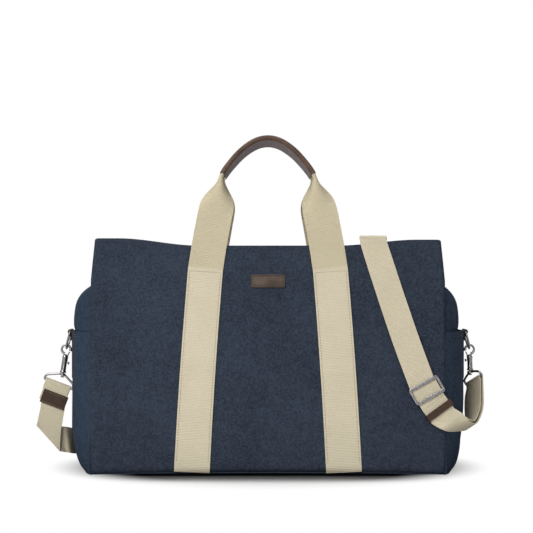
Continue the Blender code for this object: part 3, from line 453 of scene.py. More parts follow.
def cloth_mesh(name, across, along, place, thickness, tone=None, closed=False, middle=False):
    """A thick grid: place(u, v) is on its outer side, or in its middle, and the rest lies behind."""
    points = np.array([[place(u, v) for u in across] for v in along], float)
    if closed:
        du = np.roll(points, -1, 1) - np.roll(points, 1, 1)
    else:
        du = np.gradient(points, axis=1)
    dv = np.gradient(points, axis=0)
    normals = np.cross(du, dv)
    normals /= np.maximum(np.linalg.norm(normals, axis=2, keepdims=True), 1e-12)
    depth = thickness
    if callable(thickness):
        depth = np.array([[thickness(u, v) for u in across] for v in along])
    if middle:
        points = points + normals * thickness / 2
    inner = points - normals * np.broadcast_to(depth, points.shape[:2])[..., None]
    rows, columns = points.shape[:2]
    count = rows * columns
    corners = np.concatenate([points.reshape(-1, 3), inner.reshape(-1, 3)])

    def at(row, column, layer):
        return layer * count + row * columns + column % columns

    faces = []
    spans = columns if closed else columns - 1
    for row in range(rows - 1):
        for column in range(spans):
            ring = [(row, column), (row, column + 1), (row + 1, column + 1), (row + 1, column)]
            faces.append([at(r, c, 0) for r, c in ring])
            faces.append([at(r, c, 1) for r, c in reversed(ring)])
    for column in range(spans):
        for row, order in ((0, -1), (rows - 1, 1)):
            wall = [at(row, column, 0), at(row, column + 1, 0), at(row, column + 1, 1), at(row, column, 1)]
            faces.append(wall[::order])
    if not closed:
        for row in range(rows - 1):
            for column, order in ((0, 1), (columns - 1, -1)):
                wall = [
                    at(row, column, 0), at(row + 1, column, 0), at(row + 1, column, 1), at(row, column, 1),
                ]
                faces.append(wall[::order])
    mesh = bpy.data.meshes.new(name)
    mesh.from_pydata(corners.tolist(), [], faces)
    flip = np.array([[u, v] for v in along for u in across])
    flat = np.concatenate([flip, flip])
    corner_of = np.empty(len(mesh.loops), int)
    mesh.loops.foreach_get("vertex_index", corner_of)
    layer = mesh.uv_layers.new(name="cloth")
    layer.data.foreach_set("uv", flat[corner_of].astype(np.float32).ravel())
    # A per-point value for painted shade and painted sheen, kept on the mesh for the finish.
    if tone:
        values = np.array([tone(u, v) for v in along for u in across], np.float32)
        attribute = mesh.attributes.new("tone", "FLOAT", "POINT")
        attribute.data.foreach_set("value", np.concatenate([values, values]))
    mesh.shade_smooth()
    mesh.set_sharp_from_angle(angle=math.radians(50))
    return mesh


def wire_mesh(name, route, radius, closed=False, sides=12):
    """A round rod swept along a route, with its frame carried along so that it doesn't twist."""
    route = [Vector(p) for p in route]
    last = len(route) - 1
    rings, side = [], None
    for i, here in enumerate(route):
        ahead = route[(i + 1) % len(route)] if closed or i < last else here
        behind = route[i - 1] if closed or i > 0 else here
        run = (ahead - behind).normalized()
        if side is None:
            side = run.orthogonal().normalized()
        side = (side - run * side.dot(run)).normalized()
        lift = run.cross(side)
        size = radius(i / last) if callable(radius) else radius
        turns = [2 * math.pi * k / sides for k in range(sides)]
        rings.append([here + side * math.cos(a) * size + lift * math.sin(a) * size for a in turns])
    corners = [p for ring in rings for p in ring]
    faces = []
    for i in range(len(rings) if closed else last):
        for k in range(sides):
            a, b = i * sides + k, i * sides + (k + 1) % sides
            shift = sides * ((i + 1) % len(rings)) - sides * i
            faces.append((a, b, b + shift, a + shift))
    if not closed:
        faces.append(tuple(reversed(range(sides))))
        faces.append(tuple(range(last * sides, (last + 1) * sides)))
    mesh = bpy.data.meshes.new(name)
    mesh.from_pydata(corners, [], faces)
    mesh.shade_smooth()
    mesh.set_sharp_from_angle(angle=math.radians(55))
    return mesh


def ease(t):
    t = min(max(t, 0.0), 1.0)
    return t * t * (3 - 2 * t)


def smooth_route(points, steps):
    """Points of a Catmull-Rom curve through the given ones."""
    points = [Vector(p) for p in points]
    ends = [2 * points[0] - points[1]] + points + [2 * points[-1] - points[-2]]
    route = []
    for i in range(len(points) - 1):
        a, b, c, d = ends[i:i + 4]
        for k in range(steps):
            t = k / steps
            route.append(0.5 * (2 * b + (c - a) * t + (2 * a - 5 * b + 4 * c - d) * t * t
                                + (3 * b - a - 3 * c + d) * t * t * t))
    return route + [points[-1]]


def joined(name, meshes):
    """Several meshes as one."""
    form = bmesh.new()
    for mesh in meshes:
        form.from_mesh(mesh)
    whole = bpy.data.meshes.new(name)
    form.to_mesh(whole)
    form.free()
    for mesh in meshes:
        bpy.data.meshes.remove(mesh)
    return whole


print("cloth and wire helpers ready")

# %% [markdown]
# Stitches are little loops of thread pressed into the cloth, so each one is a short bead with
# pointed ends that stands about a third of a millimetre proud. A seam is a row of beads along a
# route, made as geometry. Making them as geometry means they are still there when the model is
# exported.

# %% Stitch helper
BEAD_SIDES = 6
BEAD_RINGS = ((-0.5, 0.25), (-0.3, 0.9), (0.3, 0.9), (0.5, 0.25))


def seam_mesh(name, routes, pitch=0.0034, bead=0.0024, radius=0.00042):
    """Beads along each route; a route is a list of (point, outward direction)."""
    corners, faces = [], []
    for route in routes:
        places = [Vector(p) for p, _ in route]
        outs = [Vector(n).normalized() for _, n in route]
        reach = [0.0]
        for a, b in zip(places, places[1:]):
            reach.append(reach[-1] + (b - a).length)
        count = max(int(reach[-1] / pitch), 1)
        spans = len(places) - 1
        span = 0
        for k in range(count):
            target = (k + 0.5) * reach[-1] / count
            while span < spans - 1 and reach[span + 1] < target:
                span += 1
            share = (target - reach[span]) / max(reach[span + 1] - reach[span], 1e-9)
            middle = places[span].lerp(places[span + 1], share)
            out = outs[span].lerp(outs[span + 1], share).normalized()
            run = (places[span + 1] - places[span]).normalized()
            side = out.cross(run).normalized()
            first = len(corners)
            for shift, size in BEAD_RINGS:
                for turn in range(BEAD_SIDES):
                    angle = 2 * math.pi * turn / BEAD_SIDES
                    spoke = side * math.cos(angle) + out * math.sin(angle)
                    corners.append(middle + run * shift * bead + spoke * size * radius)
            for ring in range(len(BEAD_RINGS) - 1):
                for turn in range(BEAD_SIDES):
                    a = first + ring * BEAD_SIDES + turn
                    b = first + ring * BEAD_SIDES + (turn + 1) % BEAD_SIDES
                    faces.append((a, b, b + BEAD_SIDES, a + BEAD_SIDES))
            end = first + (len(BEAD_RINGS) - 1) * BEAD_SIDES
            faces.append(tuple(first + BEAD_SIDES - 1 - turn for turn in range(BEAD_SIDES)))
            faces.append(tuple(end + turn for turn in range(BEAD_SIDES)))
    mesh = bpy.data.meshes.new(name)
    mesh.from_pydata(corners, [], faces)
    mesh.uv_layers.new(name="cloth")
    mesh.shade_smooth()
    return mesh


print("stitch helper ready")

# %% [markdown]
# The big front and back panels lean towards each other and end in an open collar above the zip.
# They are soft, so their sides roll round to the seams, the bottom edge rolls under, the middle of
# the bottom lifts a little, and the canvas has slow, shallow dents. The dents only go inward, which
# keeps the cloth clear of the straps that lie on it.

# %% Panels
BASE_DEPTH = 0.230
LEAN = math.atan(0.1717)
CANVAS = 0.002
FRONT, BACK = -1, 1
LEFT, RIGHT = -1, 1
EDGE_ROLL = 0.0060
FOOT_ROLL = 0.0090
FOOT_LIFT = 0.0035
PANEL_HALF = [
    (0.0, 0.2475), (0.012, 0.2502), (0.10, 0.2522), (0.20, 0.2540), (0.265, 0.2545), (0.290, 0.2525),
    (0.340, 0.2480),
]


def along_table(table, value):
    """Straight steps between the rows of a table of (value, result)."""
    return float(np.interp(value, [a for a, _ in table], [b for _, b in table]))


def on_panel(side, x, z, out):
    """A point at a height on the leaning panel, out from its flat outer face."""
    up = (z - out * math.sin(LEAN)) / math.cos(LEAN)
    reach = BASE_DEPTH / 2 - up * math.sin(LEAN) + out * math.cos(LEAN)
    return Vector((x, side * reach, z))


def panel_top(x):
    rise = 0.0105 if x < 0 else 0.0085
    corner = ease((abs(x) - 0.2430) / 0.010)
    return 0.3242 + rise * ease((abs(x) - 0.100) / 0.115) - 0.0040 * corner * corner


def dent(x, z, seed):
    """How far the canvas falls back from its flat plane, which is never outward."""
    slow = noise.noise(Vector((x * 7, z * 6, seed)))
    quick = noise.noise(Vector((x * 19 + 5, z * 13, seed + 4)))
    pull = ease((0.245 - abs(x)) / 0.08) * ease(z / 0.05) * ease((0.29 - z) / 0.06)
    return -(0.0012 + 0.0011 * slow + 0.0005 * quick) * (0.06 + 0.94 * pull)


def panel_place(side, u, v, seed):
    """u runs across from the middle, v up from under the foot; both are lengths of cloth."""
    foot_arc = FOOT_ROLL * math.radians(80)
    half = along_table(PANEL_HALF, max(v - foot_arc, 0) + 0.004)
    flat = half - EDGE_ROLL
    reach = abs(u)
    x, fall = u, 0.0
    if reach > flat:
        angle = min((reach - flat) / EDGE_ROLL, math.radians(84))
        x = math.copysign(flat + EDGE_ROLL * math.sin(angle), u)
        fall = EDGE_ROLL * (1 - math.cos(angle))
    lift = FOOT_LIFT * (1 - min(abs(x) / 0.25, 1) ** 2)
    start = 0.0012 + lift
    if v < foot_arc:
        angle = math.radians(80) - v / FOOT_ROLL
        z = start + FOOT_ROLL - FOOT_ROLL * math.sin(angle)
        fall += FOOT_ROLL * (1 - math.cos(angle))
    else:
        top = panel_top(x)
        share = (v - foot_arc) / PANEL_RISE
        z = start + FOOT_ROLL + share * (top - start - FOOT_ROLL)
    return on_panel(side, x, z, dent(x, z, seed) - fall)


PANEL_RISE = 0.316
foot_rows = spaced(0, FOOT_ROLL * math.radians(80), 8)
panel_rows = foot_rows + [foot_rows[-1] + PANEL_RISE * s for s in spaced(0.011, 1, 84)]
panel_half_cloth = 0.2485 + EDGE_ROLL * math.radians(84)
roll = spaced(0.2400, panel_half_cloth, 12)
panel_columns = [-u for u in reversed(roll)] + spaced(-0.236, 0.236, 96) + roll

for word, side in (("front", FRONT), ("back", BACK)):
    seed = 3.0 + side

    def panel_at(u, v):
        return panel_place(side, -side * u, v, seed)

    mesh = cloth_mesh(word + "_canvas", panel_columns, panel_rows, panel_at, CANVAS)
    as_piece(word + "_canvas", mesh, FRONT_NAVY, "bag", "canvas", word + "_panel")

# %% [markdown]
# The collar is finished with a row of navy stitches close to its top edge. The thread follows the
# same rule as the canvas, so it lies in every dent.

# %% Collar seams
def canvas_out(side, x, z, out=0.0002):
    seed = 3.0 + side
    return on_panel(side, x, z, dent(x, z, seed) + out)


def panel_normal(side):
    return Vector((0, side * math.cos(LEAN), math.sin(LEAN)))


for word, side in (("front", FRONT), ("back", BACK)):
    route = [
        (canvas_out(side, x, panel_top(x) - 0.0040), panel_normal(side)) for x in spaced(-0.243, 0.243, 120)
    ]
    as_piece(word + "_collar_seam", seam_mesh(word + "_collar_seam", [route]), NAVY_THREAD, "bag", "canvas")
print("collar seams sewn")

# %% [markdown]
# Each end of the bag is a gusset: one long strip that swells outward between the two side seams and
# curls over at the top to meet the zip. Its lower part is covered by a slip pocket, a second layer
# with a turned hem that stands a little open. The cloth is soft enough to show a forked crease near
# the floor.

# %% Gussets
SEAM_X = 0.2480
GUSSET_MIDDLE = [
    (0.2600, 0.0016), (0.2700, 0.0120), (0.2750, 0.0400), (0.2765, 0.0900), (0.2765, 0.1500),
    (0.2790, 0.1900), (0.2842, 0.2080), (0.2836, 0.2300), (0.2800, 0.2450), (0.2715, 0.2570),
    (0.2600, 0.2655), (0.2540, 0.2678), (0.2440, 0.2680), (0.2290, 0.2680),
]
GUSSET_SEAM = [
    (SEAM_X, 0.0016), (SEAM_X, 0.0120), (SEAM_X, 0.0400), (SEAM_X, 0.0900), (SEAM_X, 0.1500),
    (SEAM_X, 0.1900), (SEAM_X, 0.2100), (SEAM_X, 0.2250), (SEAM_X, 0.2380), (0.2475, 0.2500),
    (0.2450, 0.2610), (0.2430, 0.2655), (0.2400, 0.2680), (0.2290, 0.2680),
]


def inside_depth(z):
    return BASE_DEPTH / 2 - z * math.tan(LEAN) - CANVAS / math.cos(LEAN) - 0.0008


gusset_middle = smooth_route([(x, z, 0) for x, z in GUSSET_MIDDLE], 5)
gusset_seam = smooth_route([(x, z, 0) for x, z in GUSSET_SEAM], 5)


def crease(share, z, middle, lean, width, depth):
    """A narrow valley that runs up the end of the bag."""
    off = (share - middle - lean * z) / width
    return -depth * math.exp(-off * off)


def gusset_place(end, share, row):
    middle, seam = gusset_middle[row], gusset_seam[row]
    swell = 1 - abs(share) ** 3.4
    spot = seam.lerp(middle, swell)
    if end == RIGHT:
        spot.x -= 0.12 * max(spot.x - SEAM_X, 0) * ease((spot.y - 0.185) / 0.02)
    ripple = noise.noise(Vector((share * 1.7, spot.y * 14, 7 + end))) * 0.0014 * swell
    notch = 0.0078 * ease((0.2535 - spot.x) / 0.005) * ease((0.27 - abs(share)) / 0.07)
    return Vector((end * (spot.x + ripple), share * inside_depth(spot.y), spot.y - notch))


gusset_columns = spaced(-1, 1, 44)
gusset_rows = spaced(0, len(gusset_middle) - 1, len(gusset_middle) - 1)
for word, end in (("left", LEFT), ("right", RIGHT)):

    def gusset_at(u, v):
        return gusset_place(end, end * u, round(v))

    mesh = cloth_mesh(word + "_end_canvas", gusset_columns, gusset_rows, gusset_at, 0.0016)
    layer = mesh.uv_layers["cloth"]
    scaled = np.empty(len(mesh.loops) * 2, np.float32)
    layer.data.foreach_get("uv", scaled)
    layer.data.foreach_set("uv", (scaled.reshape(-1, 2) * (0.09, 0.0055)).astype(np.float32).ravel())
    as_piece(word + "_end_canvas", mesh, END_NAVY, "bag", "canvas_end", word + "_gusset")

# %% [markdown]
# The slip pockets are patch pieces sewn to the gussets. Near the floor they lie against the gusset,
# and towards the mouth they bow out so that a hand can find the way in. The mouth has a turned hem,
# which is a strip of double thickness, with two rows of stitches below it.

# %% End pockets
POCKET_TOP = 0.2000
POCKET_X = 0.2865
POCKET_REACH = 1.0
POCKET_POWER = 3.2
HEM = 0.0085


def gusset_skin(share, z):
    """The gusset's outer face below its shoulder, as a distance along X."""
    middle = float(np.interp(z, [p.y for p in gusset_middle[:46]], [p.x for p in gusset_middle[:46]]))
    return SEAM_X + (middle - SEAM_X) * (1 - abs(share) ** 3.4)


def pocket_x(end, part, z):
    share = part * POCKET_REACH
    close = gusset_skin(share, z) + 0.0026 + 0.0010 * ease((1 - abs(part)) / 0.15)
    full = SEAM_X + (POCKET_X - SEAM_X) * (1 - abs(part) ** POCKET_POWER)
    rise = 0.060 if end == LEFT else 0.105
    x = close + max(full - close, 0) * ease((z - 0.004) / rise)
    still = ease((abs(part) - 0.30) / 0.25) * ease((1 - abs(part)) / 0.2)
    wave = noise.noise(Vector((part * 2.1, z * 17, 11 + end))) * 0.0016
    fork = 0.0
    if z < 0.095:
        low = ease((0.095 - z) / 0.03) * ease(z / 0.02)
        front_arm = crease(part, z, -0.80, 3.2, 0.07, 0.0050)
        back_arm = crease(part, z, -0.28, -3.2, 0.07, 0.0050)
        fork = front_arm * low + back_arm * low
    return x + min(wave, 0.0006) * still + fork * still


def pocket_place(end, part, z):
    return Vector((end * pocket_x(end, part, z), part * POCKET_REACH * inside_depth(z), z))


pocket_columns = spaced(-1, 1, 56)
pocket_rows = spaced(0.0022, 0.0300, 10) + spaced(0.0340, POCKET_TOP - HEM - 0.0006, 40)
pocket_rows += [
    POCKET_TOP - HEM, POCKET_TOP - HEM + 0.0010, POCKET_TOP - 0.0045, POCKET_TOP - 0.0015, POCKET_TOP,
]


def hem_depth(u, v):
    return 0.0026 if v > POCKET_TOP - HEM else 0.0018


for word, end in (("left", LEFT), ("right", RIGHT)):

    def pocket_at(u, v):
        return pocket_place(end, end * u, v)

    mesh = cloth_mesh(word + "_pocket_canvas", pocket_columns, pocket_rows, pocket_at, hem_depth)
    layer = mesh.uv_layers["cloth"]
    flat = np.empty(len(mesh.loops) * 2, np.float32)
    layer.data.foreach_get("uv", flat)
    layer.data.foreach_set("uv", (flat.reshape(-1, 2) * (0.085, 1.0)).astype(np.float32).ravel())
    as_piece(
        word + "_pocket_canvas", mesh, END_NAVY, "bag", "canvas_end", word + "_end_pocket",
    )
    rows = []
    for z in (POCKET_TOP - HEM + 0.0016, POCKET_TOP - HEM + 0.0044):
        parts = spaced(-0.96, 0.96, 60)
        rows.append([(pocket_place(end, p, z) + Vector((end * 0.0002, 0, 0)), (end, 0, 0)) for p in parts])
    as_piece(word + "_pocket_seam", seam_mesh(word + "_pocket_seam", rows), NAVY_THREAD, "bag", "canvas_end")

# %% [markdown]
# The base is a firm sheet of the same canvas. Its long edges curl up to meet the rolled feet of the
# panels, and inside it a plain board keeps it flat. The lining is a tub of thin cotton, which only
# shows when the zip is open.

# %% Base, board and lining
BASE_LENGTH = 0.2600


def base_place(u, v):
    edge = abs(v) / (BASE_DEPTH / 2)
    curl = ease((edge - 0.86) / 0.14)
    corner = 1 - 0.5 * (abs(u) / BASE_LENGTH) ** 2
    end = ease((abs(u) - 0.235) / 0.028)
    narrow = 1 - 0.40 * max(abs(u) - SEAM_X, 0) / 0.012
    return Vector((u, v * (1 - 0.035 * curl) * narrow, 0.0003 + 0.0042 * curl * corner + 0.0010 * end))


columns = spaced(-BASE_LENGTH, BASE_LENGTH, 60)
rows = spaced(BASE_DEPTH / 2, -BASE_DEPTH / 2, 26)
mesh = cloth_mesh("base_canvas", columns, rows, base_place, 0.0014)
base = as_piece("base_canvas", mesh, FRONT_NAVY, "bag", "canvas", "base_panel")

board_finish = plain_weave("grey_board", (0.075, 0.068, 0.060), (0.12, 0.11, 0.095), 0.0012)
nodes["base_board"].data.materials.clear()
nodes["base_board"].data.materials.append(board_finish)

LINING_LOW, LINING_HIGH = 0.0062, 0.2560


def lining_ring(z, share):
    """A rounded rectangle inside the shell; share runs once round it."""
    half_x, half_y, corner = 0.2395, inside_depth(z) - 0.0042, 0.018
    sides = [
        (half_x, -half_y, half_x, half_y), (half_x, half_y, -half_x, half_y),
        (-half_x, half_y, -half_x, -half_y), (-half_x, -half_y, half_x, -half_y),
    ]
    x0, y0, x1, y1 = sides[int(share * 4) % 4]
    t = share * 4 - int(share * 4)
    x, y = x0 + (x1 - x0) * t, y0 + (y1 - y0) * t
    inset_x, inset_y = half_x - corner, half_y - corner
    off = Vector((max(abs(x) - inset_x, 0), max(abs(y) - inset_y, 0)))
    if off.x > 0 and off.y > 0:
        off = off.normalized() * corner
        x, y = math.copysign(inset_x + off.x, x), math.copysign(inset_y + off.y, y)
    return Vector((x, y))


lining_columns = spaced(0, 1, 120)[:-1]
lining_rows = spaced(0, 1, 34)


def lining_place(u, v):
    if v < 0.3:
        z = LINING_LOW
        spread = v / 0.3
        flat = lining_ring(z, u) * (0.02 + 0.98 * spread)
        return Vector((flat.x, flat.y, z))
    z = LINING_LOW + (v - 0.3) / 0.7 * (LINING_HIGH - LINING_LOW)
    flat = lining_ring(z, u)
    sag = 0.0016 * noise.noise(Vector((flat.x * 9, flat.y * 9, z * 11)))
    inward = 1 - max(sag, 0) / 0.05
    return Vector((flat.x * inward, flat.y * inward, z))


mesh = cloth_mesh("cotton_lining", lining_columns, lining_rows, lining_place, 0.0009, closed=True)
layer = mesh.uv_layers["cloth"]
flat = np.empty(len(mesh.loops) * 2, np.float32)
layer.data.foreach_get("uv", flat)
layer.data.foreach_set("uv", (flat.reshape(-1, 2) * (1.3, 0.35)).astype(np.float32).ravel())
lining = as_piece("cotton_lining", mesh, LINING, "bag", "lining", "lining")
print("base and lining made")

# %% [markdown]
# Between the collars two canvas flaps carry the zip. Each flap is sewn along its panel and turns up
# about that seam, so its tape and teeth ride with it. The flaps sag a little in the middle. Zip
# teeth are small cast blocks, a few millimetres apart, and the two rows interleave.

# %% Zip flaps, tape and teeth
ZIP_LEVEL = 0.2675
FLAP_HALF = 0.2280
FLAP_EDGE, FLAP_FREE = 0.0655, 0.0160
TAPE_EDGE, TAPE_FREE = 0.0270, 0.0046
TAPE_TOP = ZIP_LEVEL - CANVAS - 0.0004
TOOTH_PITCH = 0.0030


def flap_sag(x, y):
    """A soft hollow halfway from the seam to the zip."""
    middle = 1 - ((abs(y) - 0.040) / 0.026) ** 2
    ends = 1 - (x / FLAP_HALF) ** 4
    drift = 1 + 0.5 * noise.noise(Vector((x * 16, y * 30, 2)))
    return -0.0012 * max(middle, 0) * ends * drift


def block(form, low, high):
    """A small box with its corners eased, added to a bmesh."""
    made = bmesh.ops.create_cube(form, size=1.0)["verts"]
    for corner in made:
        corner.co = Vector((
            low[0] + (corner.co.x + 0.5) * (high[0] - low[0]),
            low[1] + (corner.co.y + 0.5) * (high[1] - low[1]),
            low[2] + (corner.co.z + 0.5) * (high[2] - low[2]),
        ))
    return made


def teeth_mesh(name, side, start, end):
    form = bmesh.new()
    count = int((end - start) / TOOTH_PITCH)
    shift = TOOTH_PITCH / 2 if side > 0 else 0
    for k in range(count):
        x = start + shift + k * TOOTH_PITCH
        near, far = side * 0.0010, side * TAPE_FREE
        low_y, high_y = min(near, far), max(near, far)
        block(form, (x, low_y, TAPE_TOP - 0.0020), (x + 0.0014, high_y, TAPE_TOP + 0.0010))
    cord_low, cord_high = sorted((side * 0.0036, side * 0.0052))
    block(form, (start, cord_low, TAPE_TOP - 0.0013), (end, cord_high, TAPE_TOP + 0.0004))
    mesh = bpy.data.meshes.new(name)
    form.to_mesh(mesh)
    form.free()
    return mesh


for word, side in (("front", FRONT), ("back", BACK)):
    body = word + "_flap"

    def flap_at(u, v):
        x, y = -side * u, side * v
        return Vector((x, y, ZIP_LEVEL + flap_sag(x, y)))

    columns = spaced(-FLAP_HALF, FLAP_HALF, 80)
    rows = spaced(FLAP_EDGE, FLAP_FREE, 14)
    mesh = cloth_mesh(word + "_flap_canvas", columns, rows, flap_at, 0.0018)
    flap = as_piece(word + "_flap_canvas", mesh, FRONT_NAVY, body, "canvas", word + "_zip_flap")

    def tape_at(u, v):
        return Vector((-side * u, side * v, TAPE_TOP))

    mesh = cloth_mesh(word + "_tape", columns, spaced(TAPE_EDGE, TAPE_FREE, 5), tape_at, 0.0009)
    tape = as_piece(word + "_tape", mesh, TAPE, body, "zip_tape", word + "_zip_tape")
    mesh = teeth_mesh(word + "_teeth", side, -FLAP_HALF, FLAP_HALF)
    as_piece(word + "_teeth", mesh, NICKEL, body, "nickel", word + "_zip_teeth")
    sewn = []
    for y in (FLAP_FREE + 0.0022, FLAP_FREE + 0.0082):
        xs = spaced(-FLAP_HALF + 0.003, FLAP_HALF - 0.003, 60)
        sewn.append([(Vector((x, side * y, ZIP_LEVEL + flap_sag(x, y) + 0.0002)), (0, 0, 1)) for x in xs])
    as_piece(word + "_flap_seam", seam_mesh(word + "_flap_seam", sewn), NAVY_THREAD, body, "canvas")

# %% [markdown]
# Past the flaps the tape runs on over the shoulder of each gusset as a short tail, with the last
# teeth along it. The slider waits there when the bag is shut, so the tail is split down the middle
# to let its post in.

# %% Zip tails
TAIL_HALF = 0.0125
TAIL_SLOT = 0.0030


def tail_ring(end):
    """The tail's flat outline, as a flat plate with a slot for the slider's post."""
    inner, outer, slot_end = FLAP_HALF + 0.0008, 0.2490, 0.2455
    return [(end * x, y) for x, y in (
        (inner, -TAIL_HALF), (outer, -TAIL_HALF), (outer, TAIL_HALF), (inner, TAIL_HALF),
        (inner, TAIL_SLOT), (slot_end, TAIL_SLOT), (slot_end, -TAIL_SLOT), (inner, -TAIL_SLOT),
    )]


def plate_mesh(name, outline, low, high):
    form = bmesh.new()
    face = form.faces.new([form.verts.new((x, y, low)) for x, y in outline])
    raised = bmesh.ops.extrude_face_region(form, geom=[face])["geom"]
    for corner in raised:
        if isinstance(corner, bmesh.types.BMVert):
            corner.co.z = high
    bmesh.ops.recalc_face_normals(form, faces=form.faces)
    mesh = bpy.data.meshes.new(name)
    form.to_mesh(mesh)
    form.free()
    return mesh


for word, end in (("left", LEFT), ("right", RIGHT)):
    mesh = plate_mesh(word + "_zip_tail", tail_ring(end), TAPE_TOP - 0.0010, TAPE_TOP)
    mesh.uv_layers.new(name="cloth")
    as_piece(word + "_zip_tail", mesh, TAPE, "bag", "zip_tape", word + "_zip_end")
    teeth = []
    for side in (FRONT, BACK):
        route = []
        for row in range(46, 59, 2):
            spot = gusset_place(end, side * 0.026, row)
            slope = gusset_place(end, side * 0.026, row + 1) - spot
            route.append(
                (spot + Vector((end * 0.0006, 0, 0.0004)), Vector((-slope.z * -end, 0, abs(slope.x))))
            )
        teeth.append(route)
    mesh = seam_mesh(word + "_tail_teeth", teeth, pitch=0.0030, bead=0.0018, radius=0.0010)
    as_piece(word + "_tail_teeth", mesh, NICKEL, "bag", "nickel")
for name in ("zip_slider", "zip_pull"):
    nodes[name].data.materials.clear()
    nodes[name].data.materials.append(NICKEL)
print("zip tails laid")

# %% [markdown]
# Each hand strap is one length of webbing. It starts under the foot of the panel, is sewn flat up to
# a cross seam below the collar, and then runs free: it folds lengthwise into the grip, and comes
# down the other side the same way. We describe the middle line first, then the section across it,
# which bends from flat into a narrow U. Below the seam it belongs to the bag and above it to the
# handle; the piece is left where it is made and hung on neither body.

# %% Hand strap route
WEB_WIDTH = 0.050
WEB = 0.0016
STITCH_Z = 0.289
COLLAR_CLEAR_Z = 0.335
FOLD_START_Z, FOLD_END_Z = 0.360, 0.434
HANDLE_LEAN = 0.21
FOLD_RADIUS = 0.0015
LEG_LOW_Z = 0.0062
HANDLE_ROUTE = [
    (-0.0896, STITCH_Z), (-0.0843, 0.3250), (-0.0790, 0.3550), (-0.0736, 0.3850), (-0.0700, 0.4120),
    (-0.0662, 0.4294), (-0.0530, 0.4487), (-0.0365, 0.4663), (-0.0182, 0.4785), (0.0, 0.4825),
]


def leg_x(z):
    """The middle of a sewn strap at a height."""
    return 0.1068 - 0.04 * z - 0.0675 * z * z


def strap_height(z):
    """How far the hand strap stands from the middle plane at a height."""
    y = on_panel(BACK, 0, min(z, COLLAR_CLEAR_Z), 0.0012).y
    return y - HANDLE_LEAN * max(z - COLLAR_CLEAR_Z, 0)


sewn_heights = spaced(LEG_LOW_Z, 0.0160, 6) + spaced(0.0200, 0.2800, 40) + [0.2835, 0.2865]
left_leg = [Vector((-leg_x(z), z, 0)) for z in sewn_heights]
arch = [(x, z, 0) for x, z in HANDLE_ROUTE] + [(-x, z, 0) for x, z in reversed(HANDLE_ROUTE[:-1])]
free_half = smooth_route(arch, 7)[:len(HANDLE_ROUTE) * 7 - 6]
left_half = left_leg + free_half
web_line = [(p.x, p.y) for p in left_half] + [(-p.x, p.y) for p in reversed(left_half[:-1])]
web_reach = [0.0]
for (xa, za), (xb, zb) in zip(web_line, web_line[1:]):
    web_reach.append(web_reach[-1] + math.hypot(xb - xa, zb - za))
print("hand strap: %.2f m of webbing each" % web_reach[-1])

# %% [markdown]
# The section across the strap is flat at first. Where the strap narrows, its two halves bend back
# until they lie on each other, with a small round fold in front. The same section, a little larger,
# gives the leather grip that is wrapped round it.

# %% Hand strap section
def folded(width, angle, bend):
    """Sideways and backward place of a point across a strap that is folded lengthwise."""
    if angle < 0.001:
        return width, 0.0
    radius = bend / angle
    turn = min(abs(width) / radius, angle)
    straight = max(abs(width) - bend, 0)
    sideways = radius * math.sin(turn) + straight * math.cos(angle)
    backward = radius * (1 - math.cos(turn)) + straight * math.sin(angle)
    return math.copysign(sideways, width), backward


def web_frame(i, side):
    """Place, inward direction and backward direction of a hand strap at a station."""
    def point(k):
        x, z = web_line[k]
        return Vector((x, side * strap_height(z), z))

    here = point(i)
    ahead = (point(min(i + 1, len(web_line) - 1)) - point(max(i - 1, 0))).normalized()
    slope = (strap_height(here.z + 0.004) - strap_height(here.z - 0.004)) / 0.008
    backward = Vector((0, -side, slope)).normalized()
    return here, backward.cross(ahead).normalized(), backward


def pressed(point, side):
    """Where the strap is sewn down it follows the dents and the rolled foot of the canvas."""
    hold = ease((0.305 - point.z) / 0.020)
    start = 0.0012 + FOOT_LIFT * (1 - min(abs(point.x) / 0.25, 1) ** 2)
    low = max(start + FOOT_ROLL - point.z, 0)
    reach = FOOT_ROLL + 0.0014
    fall = reach - math.sqrt(max(reach * reach - low * low, 0))
    push = dent(point.x, point.z, 3.0 + side) * hold - fall
    return point + panel_normal(side) * push


def web_section(i, side, width):
    here, inward, backward = web_frame(i, side)
    share = min(max((here.z - FOLD_START_Z) / (FOLD_END_Z - FOLD_START_Z), 0), 1)
    angle = math.pi / 2 * ease(share)
    tight = FOLD_RADIUS * math.pi / 2
    bend = WEB_WIDTH / 2 + (tight - WEB_WIDTH / 2) * ease(share)
    a, b = folded(width, angle, bend)
    spot = here + inward * a + backward * b
    return pressed(spot, side) if here.z < 0.32 else spot


web_columns = [-0.0250, -0.0235, -0.0200, -0.0160, -0.0120, -0.0080, -0.0050, -0.0030, -0.0018, -0.0009, 0.0]
web_columns += [-w for w in reversed(web_columns[:-1])]


# Painted shade along the hand strap: 0 where it is sewn flat, 1 where it stands free and takes the darker
# colour.
def web_painted_shade(u, v):
    from_end = min(v, web_reach[-1] - v)
    return ease((from_end - STITCH_REACH) / 0.003)


STITCH_REACH = web_reach[len(left_leg)]
station_of = {round(v, 6): i for i, v in enumerate(web_reach)}
webs = {}
for word, side in (("front", FRONT), ("back", BACK)):

    def web_at(u, v):
        return web_section(station_of[round(v, 6)], side, u)

    mesh = cloth_mesh(word + "_hand_strap", web_columns, web_reach, web_at, WEB, tone=web_painted_shade, middle=True)
    web = as_piece(word + "_hand_strap", mesh, BEIGE, None, "webbing")
    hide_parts(word + "_left_strap", word + "_right_strap", word + "_handle_webbing")
    hinge_y = side * strap_height(STITCH_Z)
    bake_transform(web)
    webs[word] = web
print("hand straps:", len(webs["front"].data.polygons), "faces each")

# %% [markdown]
# Beige thread holds the straps down: one row along each edge of the sewn part, and a cross row at
# the top where the strap is let go.

